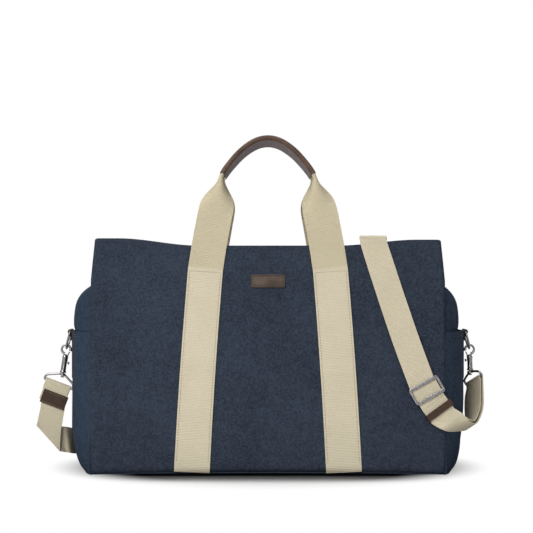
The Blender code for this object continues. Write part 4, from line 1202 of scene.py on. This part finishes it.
# %% Hand strap seams
for word, side in (("front", FRONT), ("back", BACK)):
    rows = []
    sewn = [i for i, z in enumerate(sewn_heights) if 0.016 < z <= STITCH_Z - 0.002]
    mirrored = [len(web_line) - 1 - i for i in sewn]
    proud = panel_normal(side) * (WEB / 2 + 0.0001)
    for stations in (sewn, mirrored):
        for w in (-0.0222, 0.0222):
            rows.append([(web_section(i, side, w) + proud, panel_normal(side)) for i in stations])
    cross = len(left_leg) - 1
    for i in (cross, len(web_line) - 1 - cross):
        rows.append(
            [(web_section(i, side, w) + proud, panel_normal(side)) for w in spaced(-0.0215, 0.0215, 12)]
        )
    mesh = seam_mesh(word + "_strap_seam", rows, pitch=0.0038, bead=0.0022, radius=0.00046)
    as_piece(word + "_strap_seam", mesh, BEIGE_THREAD, "bag", "webbing")
print("hand strap seams sewn")

# %% [markdown]
# The grips are leather sleeves, folded over the top of each strap and open towards the back. The
# round front is polished dark brown; on the flat underside the colour is blended to a paler grey, a painted
# sheen.

# %% Grips
GRIP_LEATHER = 0.0012
GRIP_DEPTH = 0.0185
GRIP_FLARE = 0.30
GRIP_ROUND = FOLD_RADIUS + WEB / 2 + 0.0003 + GRIP_LEATHER / 2
grip_bend = GRIP_ROUND * math.pi / 2
grip_half = [0, 0.12, 0.25, 0.40, 0.55, 0.70, 0.85, 1.0]
grip_columns = [grip_bend * s for s in grip_half]
grip_columns += [grip_bend + GRIP_DEPTH * s for s in (0.12, 0.3, 0.5, 0.7, 0.9, 1.0)]
grip_columns = [-w for w in reversed(grip_columns[1:])] + grip_columns
grip_first = len(left_leg) + 5 * 7
grip_stations = list(range(grip_first, len(web_line) - grip_first))


def grip_section(i, side, width):
    here, inward, backward = web_frame(i, side)
    a, b = folded(width, math.pi / 2, grip_bend)
    along_grip = (i - grip_stations[0]) / (len(grip_stations) - 1)
    flare = max(width - grip_bend, 0) * GRIP_FLARE * (0.45 + 0.55 * math.sin(math.pi * along_grip))
    return here + inward * (a + flare) + backward * (b - flare * GRIP_FLARE / 2 - GRIP_ROUND + FOLD_RADIUS)


for word, side in (("front", FRONT), ("back", BACK)):

    def grip_at(u, v):
        return grip_section(grip_stations[round(v / 0.004)], side, u)

    # Painted sheen on the flat underside of the grip.
    def grip_painted_sheen(u, v):
        return 0.85 * ease((u - grip_bend * 0.75) / 0.0015)

    along = [0.004 * k for k in range(len(grip_stations))]
    mesh = cloth_mesh(
        word + "_leather_grip", grip_columns, along, grip_at, GRIP_LEATHER, grip_painted_sheen, middle=True,
    )
    grip = as_piece(word + "_leather_grip", mesh, GRIP_BROWN, word + "_handle", "leather", word + "_grip")
    lift = Vector((0, 0, 0.0007))
    row = [(grip_section(i, side, 0.0030 - grip_columns[-1]) + lift, lift) for i in grip_stations]
    mesh = seam_mesh(word + "_grip_seam", [row], pitch=0.0036, bead=0.0026)
    as_piece(word + "_grip_seam", mesh, BROWN_THREAD, word + "_handle", "leather")
    reveal = [s for s in range(len(grip_stations)) if abs(s / (len(grip_stations) - 1) - 0.5) > 0.16]
    half_way = reveal[-1] / 2
    for half, places in (
        ("left", [s for s in reveal if s < half_way]),
        ("right", [s for s in reveal if s > half_way]),
    ):

        def edge_at(u, v):
            spot = places[0] + round(v / 0.004)
            share = ease(abs(spot / (len(grip_stations) - 1) - 0.5) / 0.34 - 0.47)
            return grip_section(
                grip_stations[spot], side, grip_columns[-1] - 0.0010 + u * (0.2 + 0.8 * share),
            )

        along = [0.004 * k for k in range(len(places))]
        name = "%s_%s_web_edge" % (word, half)
        mesh = cloth_mesh(name, [0.0, 0.0014, 0.0028], along, edge_at, 0.0008, middle=True)
        as_piece(name, mesh, BEIGE, word + "_handle", "webbing")
    flat = (2 * (grip_bend + GRIP_DEPTH), 0.170)
print("grips: %d stations along each" % len(grip_stations))

# %% [markdown]
# The shoulder strap is one long ribbon, narrower than the hand straps. It hangs from the left hook,
# folds over itself near the floor, runs round the back of the bag on its edge, climbs the back panel,
# crosses both collars and comes down the front to the buckle. From there it swings round the right
# end to the other hook. A ribbon is easiest to describe by pairs of points, one on each edge, with a
# smooth curve through each row of points.

# %% Shoulder strap route
STRAP_WIDTH = 0.038
STRAP = 0.0018
BAIL_WIRE = 0.0014
BAR_TURN = BAIL_WIRE + 0.0004 + STRAP / 2
FLAT_OUT, LIFT_OUT, RUN_OUT, RETURN_OUT = 0.0017, 0.0052, 0.0046, 0.0022
BUCKLE_PLACE, BUCKLE_TURN = (0.2242, 0.1181), math.radians(29)
KEEPER_PLACE, KEEPER_TURN = (0.2415, 0.0906), math.radians(36)
BUCKLE_STEPS = (-0.0170, -0.0120, 0.0, 0.0135, 0.0160)
KEEPER_STEPS = (-0.0140, -0.0120, 0.0060, 0.0090)
AXIS_Y, AXIS_Z = Vector((0, 1, 0)), Vector((0, 0, 1))
HOOK_EYE = {LEFT: Vector((-0.2985, 0, 0.1713)), RIGHT: Vector((0.2985, 0, 0.1713))}
HOOK_BASE = {LEFT: Vector((-0.3037, 0, 0.1350)), RIGHT: Vector((0.2994, 0, 0.1385))}
BAIL_ACROSS = {LEFT: Vector((0.934, 0, -0.357)), RIGHT: Vector((0.403, -0.829, 0.389)).normalized()}
BAIL_CENTRE = {LEFT: Vector((-0.3103, 0, 0.1200)), RIGHT: Vector((0.3055, 0.0, 0.1255))}


def edges(middle, across):
    return middle - across * STRAP_WIDTH / 2, middle + across * STRAP_WIDTH / 2


def on_front(place, turn, step, out):
    """A pair of edge points on the front panel, a step along a direction from straight down."""
    x, z = place[0] + step * math.sin(turn), place[1] - step * math.cos(turn)
    half_x, half_z = STRAP_WIDTH / 2 * math.cos(turn), STRAP_WIDTH / 2 * math.sin(turn)
    return on_panel(FRONT, x - half_x, z - half_z, out), on_panel(FRONT, x + half_x, z + half_z, out)


def on_back(x0, z0, x1, z1, out):
    return on_panel(BACK, x0, z0, out), on_panel(BACK, x1, z1, out)


def left_start():
    """Up behind the left bail's bar, over it and down in front."""
    centre, across = BAIL_CENTRE[LEFT], BAIL_ACROSS[LEFT]
    below = across.cross(AXIS_Y)
    below = -below if below.z > 0 else below
    behind = AXIS_Y * BAR_TURN
    pairs = [edges(centre + behind + below * drop, across) for drop in (0.0300, 0.0120)]
    for angle in (90, 45, 0, -45, -90):
        turn = math.radians(angle)
        spoke = AXIS_Y * math.sin(turn) - below * math.cos(turn)
        pairs.append(edges(centre + spoke * BAR_TURN, across))
    return pairs + [edges(centre - behind + below * 0.0120, across)]


def right_turn():
    """Over the right bail's bar, from the outer side of the loop to its inner side."""
    across = BAIL_ACROSS[RIGHT]
    rise = (AXIS_Z - across * across.z).normalized()
    outer = across.cross(-rise)
    pairs = []
    for angle in (90, 45, 0, -45, -90):
        turn = math.radians(angle)
        spoke = rise * math.cos(turn) + outer * math.sin(turn)
        pairs.append(edges(BAIL_CENTRE[RIGHT] + spoke * BAR_TURN, across))
    return pairs


hang = [
    ((-0.3350, -0.0024, 0.0916), (-0.3008, -0.0024, 0.0823)),
    ((-0.3400, -0.0016, 0.0680), (-0.3060, -0.0016, 0.0500)),
    ((-0.3416, -0.0006, 0.0606), (-0.3074, -0.0006, 0.0240)),
    ((-0.3418, 0.0022, 0.0590), (-0.3066, 0.0022, 0.0206)),
    ((-0.3360, 0.0052, 0.0592), (-0.3030, 0.0052, 0.0196)),
    ((-0.3120, 0.0085, 0.0568), (-0.3000, 0.0080, 0.0182)),
    ((-0.3000, 0.0105, 0.0555), (-0.2935, 0.0110, 0.0168)),
    ((-0.2915, 0.0400, 0.0500), (-0.2905, 0.0400, 0.0120)),
    ((-0.2830, 0.0800, 0.0455), (-0.2830, 0.0815, 0.0075)),
    ((-0.2640, 0.1090, 0.0420), (-0.2650, 0.1150, 0.0045)),
]
back_run = [
    on_back(-0.2350, 0.0404, -0.2350, 0.0030, RUN_OUT), on_back(-0.0600, 0.0404, -0.0600, 0.0030, RUN_OUT),
    on_back(0.1000, 0.0404, 0.1000, 0.0030, RUN_OUT), on_back(0.1250, 0.0404, 0.1500, 0.0030, RUN_OUT),
    on_back(0.1330, 0.0402, 0.1705, 0.0032, RUN_OUT - 0.0006),
    on_back(0.1336, 0.0400, 0.1711, 0.0030, (RUN_OUT + FLAT_OUT) / 2),
    on_back(0.1330, 0.0414, 0.1708, 0.0044, FLAT_OUT + 0.0003),
    on_back(0.1322, 0.0600, 0.1702, 0.0400, FLAT_OUT), on_back(0.1320, 0.1000, 0.1700, 0.0950, FLAT_OUT),
    on_back(0.1320, 0.2200, 0.1700, 0.2200, FLAT_OUT), on_back(0.1405, 0.3180, 0.1785, 0.3180, FLAT_OUT),
]
over_top = ((0.0604, 0.3330), (0.0540, 0.3378), (0.0, 0.3366), (-0.0540, 0.3378), (-0.0604, 0.3330))
crossing = [edges(Vector((0.1510 + 0.09 * (y + 0.0604), y, z)), Vector((1, 0, 0))) for y, z in over_top]
front_run = [
    on_front((0.1560, 0.3150), math.radians(10), 0, FLAT_OUT),
    on_front((0.1785, 0.2430), math.radians(17), 0, FLAT_OUT),
    on_front((0.1970, 0.1860), math.radians(20), 0, LIFT_OUT - 0.0010),
]
front_run += [on_front(BUCKLE_PLACE, BUCKLE_TURN, step, LIFT_OUT) for step in BUCKLE_STEPS]
front_run += [on_front(KEEPER_PLACE, KEEPER_TURN, step, LIFT_OUT) for step in KEEPER_STEPS]
outer_loop = [
    ((0.2480, -0.1122, 0.0640), (0.2740, -0.1080, 0.0868)),
    ((0.2675, -0.0880, 0.0605), (0.2845, -0.1068, 0.0757)),
    ((0.2885, -0.0430, 0.0580), (0.2975, -0.0745, 0.0705)),
    ((0.2955, -0.0120, 0.0625), (0.3085, -0.0430, 0.0775)),
    ((0.2965, 0.0050, 0.0765), (0.3145, -0.0260, 0.0880)),
    ((0.2985, 0.0150, 0.0970), (0.3165, -0.0165, 0.1030)),
]
outer_loop = [(Vector(low), Vector(high)) for low, high in outer_loop]
strap_pairs = left_start() + hang + back_run + crossing + front_run + outer_loop + right_turn()
print("shoulder strap: %d stations" % len(strap_pairs))

# %% [markdown]
# The end of the strap comes back inside the loop, lies under the first layer through the leather
# keeper, and is sewn round the middle bar of the buckle. It is a second, shorter ribbon on the same
# kind of route.

# %% Shoulder strap ribbons
LAYER_STEPS = (0.0034, 0.0040, 0.0042, 0.0046, 0.0050, 0.0054)
beside = [on_front(KEEPER_PLACE, KEEPER_TURN, 0.0, LIFT_OUT)] + outer_loop + [right_turn()[0]]
middles = [(low + high) / 2 for low, high in beside]
inside = []
for i, (low, high) in enumerate(outer_loop):
    inward = (high - low).cross(middles[i + 2] - middles[i]).normalized() * LAYER_STEPS[i]
    inside.append((low + inward, high + inward))
bar_low, bar_high = right_turn()[-1]
across = BAIL_ACROSS[RIGHT]
fall = (across * across.z - AXIS_Z).normalized()
return_pairs = [(bar_low + fall * step, bar_high + fall * step) for step in (0.0006, 0.0060)]
return_pairs += reversed(inside)
return_pairs += [on_front(KEEPER_PLACE, KEEPER_TURN, step, RETURN_OUT) for step in reversed(KEEPER_STEPS)]
return_pairs += [on_front(BUCKLE_PLACE, BUCKLE_TURN, step, RETURN_OUT) for step in (0.0160, 0.0030)]


def ribbon_piece(name, pairs, node):
    first = smooth_route([a for a, b in pairs], 7)
    second = smooth_route([b for a, b in pairs], 7)
    middle = [(a + b) / 2 for a, b in zip(first, second)]
    reach = [0.0]
    for a, b in zip(middle, middle[1:]):
        reach.append(reach[-1] + max((b - a).length, 1e-5))
    row_of = {v: i for i, v in enumerate(reach)}

    def place(u, v):
        row = row_of[v]
        return first[row].lerp(second[row], u / STRAP_WIDTH + 0.5)

    columns = [-0.0190, -0.0178, -0.0120, -0.0060, 0.0, 0.0060, 0.0120, 0.0178, 0.0190]
    # The shoulder strap takes a fixed quarter of the darker webbing colour along its whole length.
    mesh = cloth_mesh(name, columns, reach, place, STRAP, tone=lambda u, v: 0.25, middle=True)
    piece = as_piece(name, mesh, BEIGE, "bag", "webbing", node)
    return piece, reach[-1]


shoulder, shoulder_length = ribbon_piece("shoulder_webbing", strap_pairs, "shoulder_strap")
doubled, doubled_length = ribbon_piece("doubled_webbing", return_pairs, "strap_return")
print("shoulder strap: %.2f m and %.2f m" % (shoulder_length, doubled_length))

# %% [markdown]
# Small leather pieces come next: the blank patch on the front, the strips that hold the rings, the
# patch over the sewn end of the strap and the keeper. A patch is a plate with eased edges and a
# pressed border, so its face is a grid that dips just inside the rim.

# %% Leather patches
def rounded_plate(name, half_x, half_y, corner, height, lip):
    """A thin plate with a rounded outline, an eased rim and a pressed line inside it."""
    rings = [
        (0.0, 0.0), (0.0, height * 0.75), (0.0004, height), (lip, height), (lip + 0.0005, height * 0.80),
    ]
    rings += [(lip + 0.0010, height * 0.80), (lip + 0.0018, height * 0.95)]
    form = bmesh.new()
    loops = []
    for inset, z in rings:
        loop = []
        bend = max(corner - inset, 0.0004)
        for sx, sy, start in ((1, 1, 0), (-1, 1, 90), (-1, -1, 180), (1, -1, 270)):
            for step in range(6):
                angle = math.radians(start + 18 * step)
                x = sx * (half_x - inset - bend) + bend * math.cos(angle)
                y = sy * (half_y - inset - bend) + bend * math.sin(angle)
                loop.append(form.verts.new((x, y, z)))
        loops.append(loop)
    for low, high in zip(loops, loops[1:]):
        for k in range(len(low)):
            n = (k + 1) % len(low)
            form.faces.new((low[k], low[n], high[n], high[k]))
    form.faces.new(loops[-1])
    form.faces.new(list(reversed(loops[0])))
    mesh = bpy.data.meshes.new(name)
    form.to_mesh(mesh)
    form.free()
    mesh.uv_layers.new(name="cloth")
    mesh.shade_smooth()
    mesh.set_sharp_from_angle(angle=math.radians(40))
    return mesh


def border_route(half_x, half_y, z, matrix):
    """A closed stitch route round a plate."""
    turn = matrix.to_3x3()
    ring = [(half_x, -half_y), (half_x, half_y), (-half_x, half_y), (-half_x, -half_y), (half_x, -half_y)]
    route = []
    for (xa, ya), (xb, yb) in zip(ring, ring[1:]):
        for t in spaced(0, 1, 6)[:-1]:
            route.append(
                (matrix @ Vector((xa + (xb - xa) * t, ya + (yb - ya) * t, z)), turn @ Vector((0, 0, 1)))
            )
    return route + [route[0]]


def panel_matrix(place, turn, out):
    """A frame on the front panel: x across, y up along it, z out from the bag."""
    tilt = Matrix.Rotation(math.pi / 2 - LEAN, 4, "X") @ Matrix.Rotation(turn, 4, "Z")
    return Matrix.Translation(on_panel(FRONT, place[0], place[1], out)) @ tilt


PATCH_HALF = (0.0245, 0.0095)
patch_matrix = panel_matrix((0, 0.2730), 0, -0.0012)
mesh = rounded_plate("blank_patch", *PATCH_HALF, 0.0032, 0.0030, 0.0013)
mesh.transform(patch_matrix)
as_piece("blank_patch", mesh, PATCH_BROWN, "bag", "leather", "front_patch")
route = border_route(PATCH_HALF[0] - 0.0026, PATCH_HALF[1] - 0.0026, 0.0029, patch_matrix)
mesh = seam_mesh("blank_patch_seam", [route], pitch=0.0030, bead=0.0021, radius=0.00040)
as_piece("blank_patch_seam", mesh, BROWN_THREAD, "bag", "leather")

down = BAIL_ACROSS[LEFT].cross(AXIS_Y)
down = -down if down.z > 0 else down
out = Vector((0, -1, 0))
end_turn = Matrix((BAIL_ACROSS[LEFT], -down, out)).transposed().to_4x4()
end_matrix = Matrix.Translation(Vector((-0.3158, -0.0038, 0.0975))) @ end_turn
mesh = rounded_plate("strap_end_leather", 0.0190, 0.0102, 0.0006, 0.0016, 0.0010)
mesh.transform(end_matrix)
as_piece("strap_end_leather", mesh, BROWN, "bag", "leather", "strap_end_patch")
rows = []
for y in (-0.0080, 0.0080):
    rows.append([(end_matrix @ Vector((x, y, 0.0015)), out) for x in spaced(-0.0165, 0.0165, 8)])
mesh = seam_mesh("strap_end_seam", rows, pitch=0.0030, bead=0.0021, radius=0.00036)
as_piece("strap_end_seam", mesh, BEIGE_THREAD, "bag", "leather")
print("patches sewn on")

# %% [markdown]
# A leather strip runs up the middle of each pocket, turns round the bar of the ring and is sewn back
# on itself. The keeper is a plain leather band closed round both layers of the strap.

# %% Ring strips and keeper
TAB_LEATHER = 0.0018
RING_PIVOT_X, RING_PIVOT_Z = 0.2912, 0.1980
RING_WIRE = 0.0015


def tab_profile():
    inner = POCKET_X + 0.0004 + TAB_LEATHER / 2
    outer = inner + TAB_LEATHER + 0.0004
    radius = RING_WIRE + 0.0004 + TAB_LEATHER / 2
    profile = [
        (inner, 0.1300), (inner, 0.1450), (inner, 0.1600), (inner, 0.1760), (inner, RING_PIVOT_Z - 0.0060),
    ]
    for step in range(17):
        angle = math.radians(200 - 15 * step)
        profile.append((RING_PIVOT_X + radius * math.cos(angle), RING_PIVOT_Z + radius * math.sin(angle)))
    return profile + [(outer, RING_PIVOT_Z - 0.0080), (outer, RING_PIVOT_Z - 0.0130)]


tab_line = tab_profile()
tab_reach = [0.0]
for (xa, za), (xb, zb) in zip(tab_line, tab_line[1:]):
    tab_reach.append(tab_reach[-1] + math.hypot(xb - xa, zb - za))
for word, end in (("left", LEFT), ("right", RIGHT)):

    def tab_at(u, v):
        x, z = tab_line[tab_reach.index(v)]
        return Vector((end * x, end * u, z))

    columns = [-0.0110, -0.0106, -0.0070, -0.0035, 0.0, 0.0035, 0.0070, 0.0106, 0.0110]
    mesh = cloth_mesh(word + "_ring_strip", columns, tab_reach, tab_at, TAB_LEATHER, middle=True)
    as_piece(word + "_ring_strip", mesh, BROWN, "bag", "leather", word + "_ring_tab")
    face = end * (POCKET_X + 0.0004 + TAB_LEATHER + 0.0001)
    sides = [[((face, y, z), (end, 0, 0)) for z in spaced(0.1330, 0.1780, 10)] for y in (-0.0085, 0.0085)]
    foot = [((face, y, 0.1325), (end, 0, 0)) for y in spaced(-0.0085, 0.0085, 6)]
    mesh = seam_mesh(word + "_strip_seam", sides + [foot], pitch=0.0030, bead=0.0021, radius=0.00036)
    as_piece(word + "_strip_seam", mesh, BROWN_THREAD, "bag", "leather")

keeper_matrix = panel_matrix(KEEPER_PLACE, KEEPER_TURN, 0)
KEEPER_LEATHER = 0.0012
half, corner = STRAP_WIDTH / 2 + 0.0016, 0.0016
low = RETURN_OUT - STRAP / 2 - 0.0006
high = LIFT_OUT + STRAP / 2 + 0.0014
keeper_ring = []
for sx, sy, start in ((1, 1, 0), (-1, 1, 90), (-1, -1, 180), (1, -1, 270)):
    for step in range(5):
        angle = math.radians(start + 22.5 * step)
        middle_z = (low + high) / 2
        keeper_ring.append(Vector((
            sx * (half - corner) + corner * math.cos(angle), 0,
            middle_z + sy * ((high - low) / 2 - corner) + corner * math.sin(angle),
        )))


def keeper_at(u, v):
    spot = keeper_ring[round(u)].copy()
    spot.y = -v
    return keeper_matrix @ spot


ring = [float(k) for k in range(len(keeper_ring))]
length = [-0.0050, -0.0047, -0.0025, 0.0, 0.0025, 0.0047, 0.0050]
mesh = cloth_mesh("leather_keeper", ring, length, keeper_at, -KEEPER_LEATHER, closed=True)
bm = bmesh.new()
bm.from_mesh(mesh)
bmesh.ops.recalc_face_normals(bm, faces=bm.faces)
bm.to_mesh(mesh)
bm.free()
as_piece("leather_keeper", mesh, BROWN, "strap_keeper", "leather", "strap_keeper")
print("ring strips and keeper made")

# %% [markdown]
# The fittings are cast and bent metal. The ring is a rod bent into a D, so one round section swept
# along a D-shaped line makes it. It hangs by its straight bar in the leather strip and leans out a
# little from the bag.

# %% Rings
RING_HALF, RING_TILT = 0.0130, math.radians(15)
d_line = [(y, 0.0) for y in spaced(-RING_HALF + 0.0020, RING_HALF - 0.0020, 8)]
d_line += [(RING_HALF - 0.0006, -0.0008), (RING_HALF, -0.0028), (RING_HALF, -0.0064)]
for step in range(25):
    angle = math.pi * step / 24
    d_line.append((RING_HALF * math.cos(angle), -0.0100 - 0.0160 * math.sin(angle)))
d_line += [(-RING_HALF, -0.0064), (-RING_HALF, -0.0028), (-RING_HALF + 0.0006, -0.0008)]
for word, end in (("left", LEFT), ("right", RIGHT)):
    lean, drop = end * math.sin(RING_TILT), math.cos(RING_TILT)
    route = [(end * RING_PIVOT_X - lean * z, y, RING_PIVOT_Z + drop * z) for y, z in d_line]
    mesh = wire_mesh(word + "_ring_wire", route, RING_WIRE, closed=True, sides=14)
    as_piece(word + "_ring_wire", mesh, NICKEL, word + "_ring", "nickel", word + "_d_ring")
print("rings bent")

# %% [markdown]
# A swivel hook starts as a turned barrel with a collar at each end. An open eye grows out of its
# top, thickest in the bend, and a sprung bolt with a small thumb knob closes the gap. Turned parts
# are rods whose radius changes along their axis, so the rod helper serves for them too.

# %% Hooks and bolts
EYE_RADIUS = 0.0066


def turned(name, foot, axis, profile, sides=24):
    """A turned piece from its (height, radius) profile along an axis."""
    last = len(profile) - 1
    route = [foot + axis * height for height, _ in profile]
    return wire_mesh(name, route, lambda share: profile[round(share * last)][1], sides=sides)


def hook_frame(end):
    axis = (HOOK_EYE[end] - HOOK_BASE[end]).normalized()
    knob = Vector((-end, 0, 0))
    return axis, (knob - axis * knob.dot(axis)).normalized()


for word, end in (("left", LEFT), ("right", RIGHT)):
    axis, knob = hook_frame(end)
    eye, base = HOOK_EYE[end], HOOK_BASE[end]
    neck = (eye - base).dot(axis) - EYE_RADIUS - 0.0014
    barrel = [
        (-0.0052, 0.0012), (-0.0050, 0.0026), (-0.0040, 0.0028), (-0.0036, 0.0017), (0.0016, 0.0017),
        (0.0020, 0.0042), (0.0026, 0.0047), (0.0038, 0.0047), (0.0044, 0.0041), (0.0050, 0.0038),
        (neck - 0.0050, 0.0038), (neck - 0.0044, 0.0042), (neck - 0.0034, 0.0043), (neck - 0.0026, 0.0039),
        (neck - 0.0006, 0.0030), (neck + 0.0004, 0.0022), (neck + 0.0008, 0.0010),
    ]
    bend = []
    for step in range(41):
        angle = math.radians(-14 + 274 * step / 40)
        bend.append(eye + (knob * math.cos(angle) + axis * math.sin(angle)) * EYE_RADIUS)
    meshes = [
        turned(word + "_barrel", base, axis, barrel),
        wire_mesh(word + "_eye", bend, lambda share: 0.0021 - 0.0006 * math.sin(math.pi * share), sides=16),
    ]
    hook = joined(word + "_swivel_hook", meshes)
    as_piece(word + "_swivel_hook", hook, NICKEL, word + "_hook", "nickel", word + "_hook")

    thumb = base + axis * 0.0170
    cap = [
        (0.0030, 0.0008),
        (0.0052, 0.0008),
        (0.0054, 0.0019),
        (0.0062, 0.0023),
        (0.0070, 0.0021),
        (0.0075, 0.0012),
        (0.0076, 0.0004),
    ]
    finger = [thumb + knob * 0.0034, base + axis * (neck - 0.002) + knob * 0.0036]
    finger += [base + axis * (neck + 0.0022) + knob * 0.0044, eye - axis * 0.0030 + knob * 0.0059]
    meshes = [
        turned(word + "_thumb", thumb, knob, cap, 16),
        wire_mesh(word + "_finger", smooth_route(finger, 5), 0.0009, sides=10),
    ]
    bolt = joined(word + "_spring_bolt", meshes)
    as_piece(word + "_spring_bolt", bolt, NICKEL, word + "_bolt", "nickel", word + "_bolt")
    spring = nodes[word + "_bolt_spring"]
    spring.data.materials.clear()
    spring.data.materials.append(NICKEL)
print("hooks and bolts made")

# %% [markdown]
# Below each hook a bail carries the webbing. It is a wire frame, wide enough for the strap, whose
# two arms run up to a small plate that turns on the hook's stem.

# %% Bails
BAIL_HALF, BAIL_SHOULDER = 0.0216, 0.0085
for word, end in (("left", LEFT), ("right", RIGHT)):
    axis, _ = hook_frame(end)
    base, across, centre = HOOK_BASE[end], BAIL_ACROSS[end], BAIL_CENTRE[end]
    rise = base - centre
    rise = (rise - across * rise.dot(across)).normalized()
    route = [base - across * 0.0034 - axis * 0.0006]
    for side in (-1, 1):
        tip, inward = centre + across * side * BAIL_HALF, -across * side * 0.0030
        arm = [
            tip + rise * BAIL_SHOULDER + inward, tip + rise * (BAIL_SHOULDER - 0.0035), tip + rise * 0.0020,
        ]
        arm.append(tip + inward * 0.7)
        route += arm if side < 0 else [centre] + arm[::-1]
    route.append(base + across * 0.0034 - axis * 0.0006)
    plate = [(-0.0022, 0.0030), (-0.0020, 0.0042), (-0.0006, 0.0046), (0.0006, 0.0042), (0.0009, 0.0030)]
    meshes = [
        wire_mesh(word + "_bail_wire", smooth_route(route, 6), 0.0017, sides=14),
        turned(word + "_bail_plate", base, axis, plate),
    ]
    as_piece(
        word + "_wire_bail", joined(word + "_wire_bail", meshes), NICKEL, "bag", "nickel", word + "_bail",
    )
print("bails bent")

# %% [markdown]
# The buckle is a flat slide: a rounded frame with eased rims in front of the strap, two short rails
# at its sides and a middle bar behind the first layer, round which the end of the strap is sewn.
# Fine ridges on its two end bars keep the strap from slipping.

# %% Buckle
BUCKLE_OUTER, BUCKLE_INNER = (0.0233, 0.0133), (0.0199, 0.0083)


def slide_frame(name, low, high):
    """A rounded frame with eased rims, made of loops from its outer wall to its inner wall."""
    steps = [(0.0, low), (0.0, high - 0.0008), (0.10, high - 0.0002), (0.24, high), (0.42, high - 0.0002)]
    steps += [(0.58, high - 0.0002), (0.76, high), (0.90, high - 0.0002), (1.0, high - 0.0008), (1.0, low)]
    corners, faces = [], []
    for share, z in steps:
        half_x, half_y = (a + (b - a) * share for a, b in zip(BUCKLE_OUTER, BUCKLE_INNER))
        bend = 0.0042 - 0.0022 * share
        for sx, sy, start in ((1, 1, 0), (-1, 1, 90), (-1, -1, 180), (1, -1, 270)):
            for step in range(8):
                angle = math.radians(start + 90 * step / 7)
                x = sx * (half_x - bend) + bend * math.cos(angle)
                corners.append((x, sy * (half_y - bend) + bend * math.sin(angle), z))
    count = 32
    for ring in range(len(steps)):
        after = (ring + 1) % len(steps)
        for k in range(count):
            n = (k + 1) % count
            faces.append((ring * count + k, ring * count + n, after * count + n, after * count + k))
    mesh = bpy.data.meshes.new(name)
    mesh.from_pydata(corners, [], faces)
    mesh.shade_smooth()
    mesh.set_sharp_from_angle(angle=math.radians(60))
    return mesh


buckle_top = LIFT_OUT + STRAP / 2 + 0.0004
rods = [((-0.0218, 0, 0.0024), (0.0218, 0, 0.0024), 0.0014)]
for side in (-1, 1):
    rods.append(((side * 0.0218, -0.0110, 0.0045), (side * 0.0218, 0.0110, 0.0045), 0.0014))
    rods.append(((side * 0.0218, 0, 0.0024), (side * 0.0218, 0, 0.0060), 0.0014))
    for line in range(4):
        y = side * (0.0098 + 0.0008 * line)
        rods.append(((-0.0178, y, buckle_top + 0.0021), (0.0178, y, buckle_top + 0.0021), 0.00028))
meshes = [slide_frame("buckle_frame", buckle_top, buckle_top + 0.0023)]
for number, (start, finish, radius) in enumerate(rods):
    meshes.append(wire_mesh("buckle_rod_%d" % number, [start, finish], radius, sides=10))
mesh = joined("slide_buckle", meshes)
mesh.transform(panel_matrix(BUCKLE_PLACE, BUCKLE_TURN, 0))
as_piece("slide_buckle", mesh, NICKEL, "strap_buckle", "nickel", "strap_buckle")
print("buckle cast")
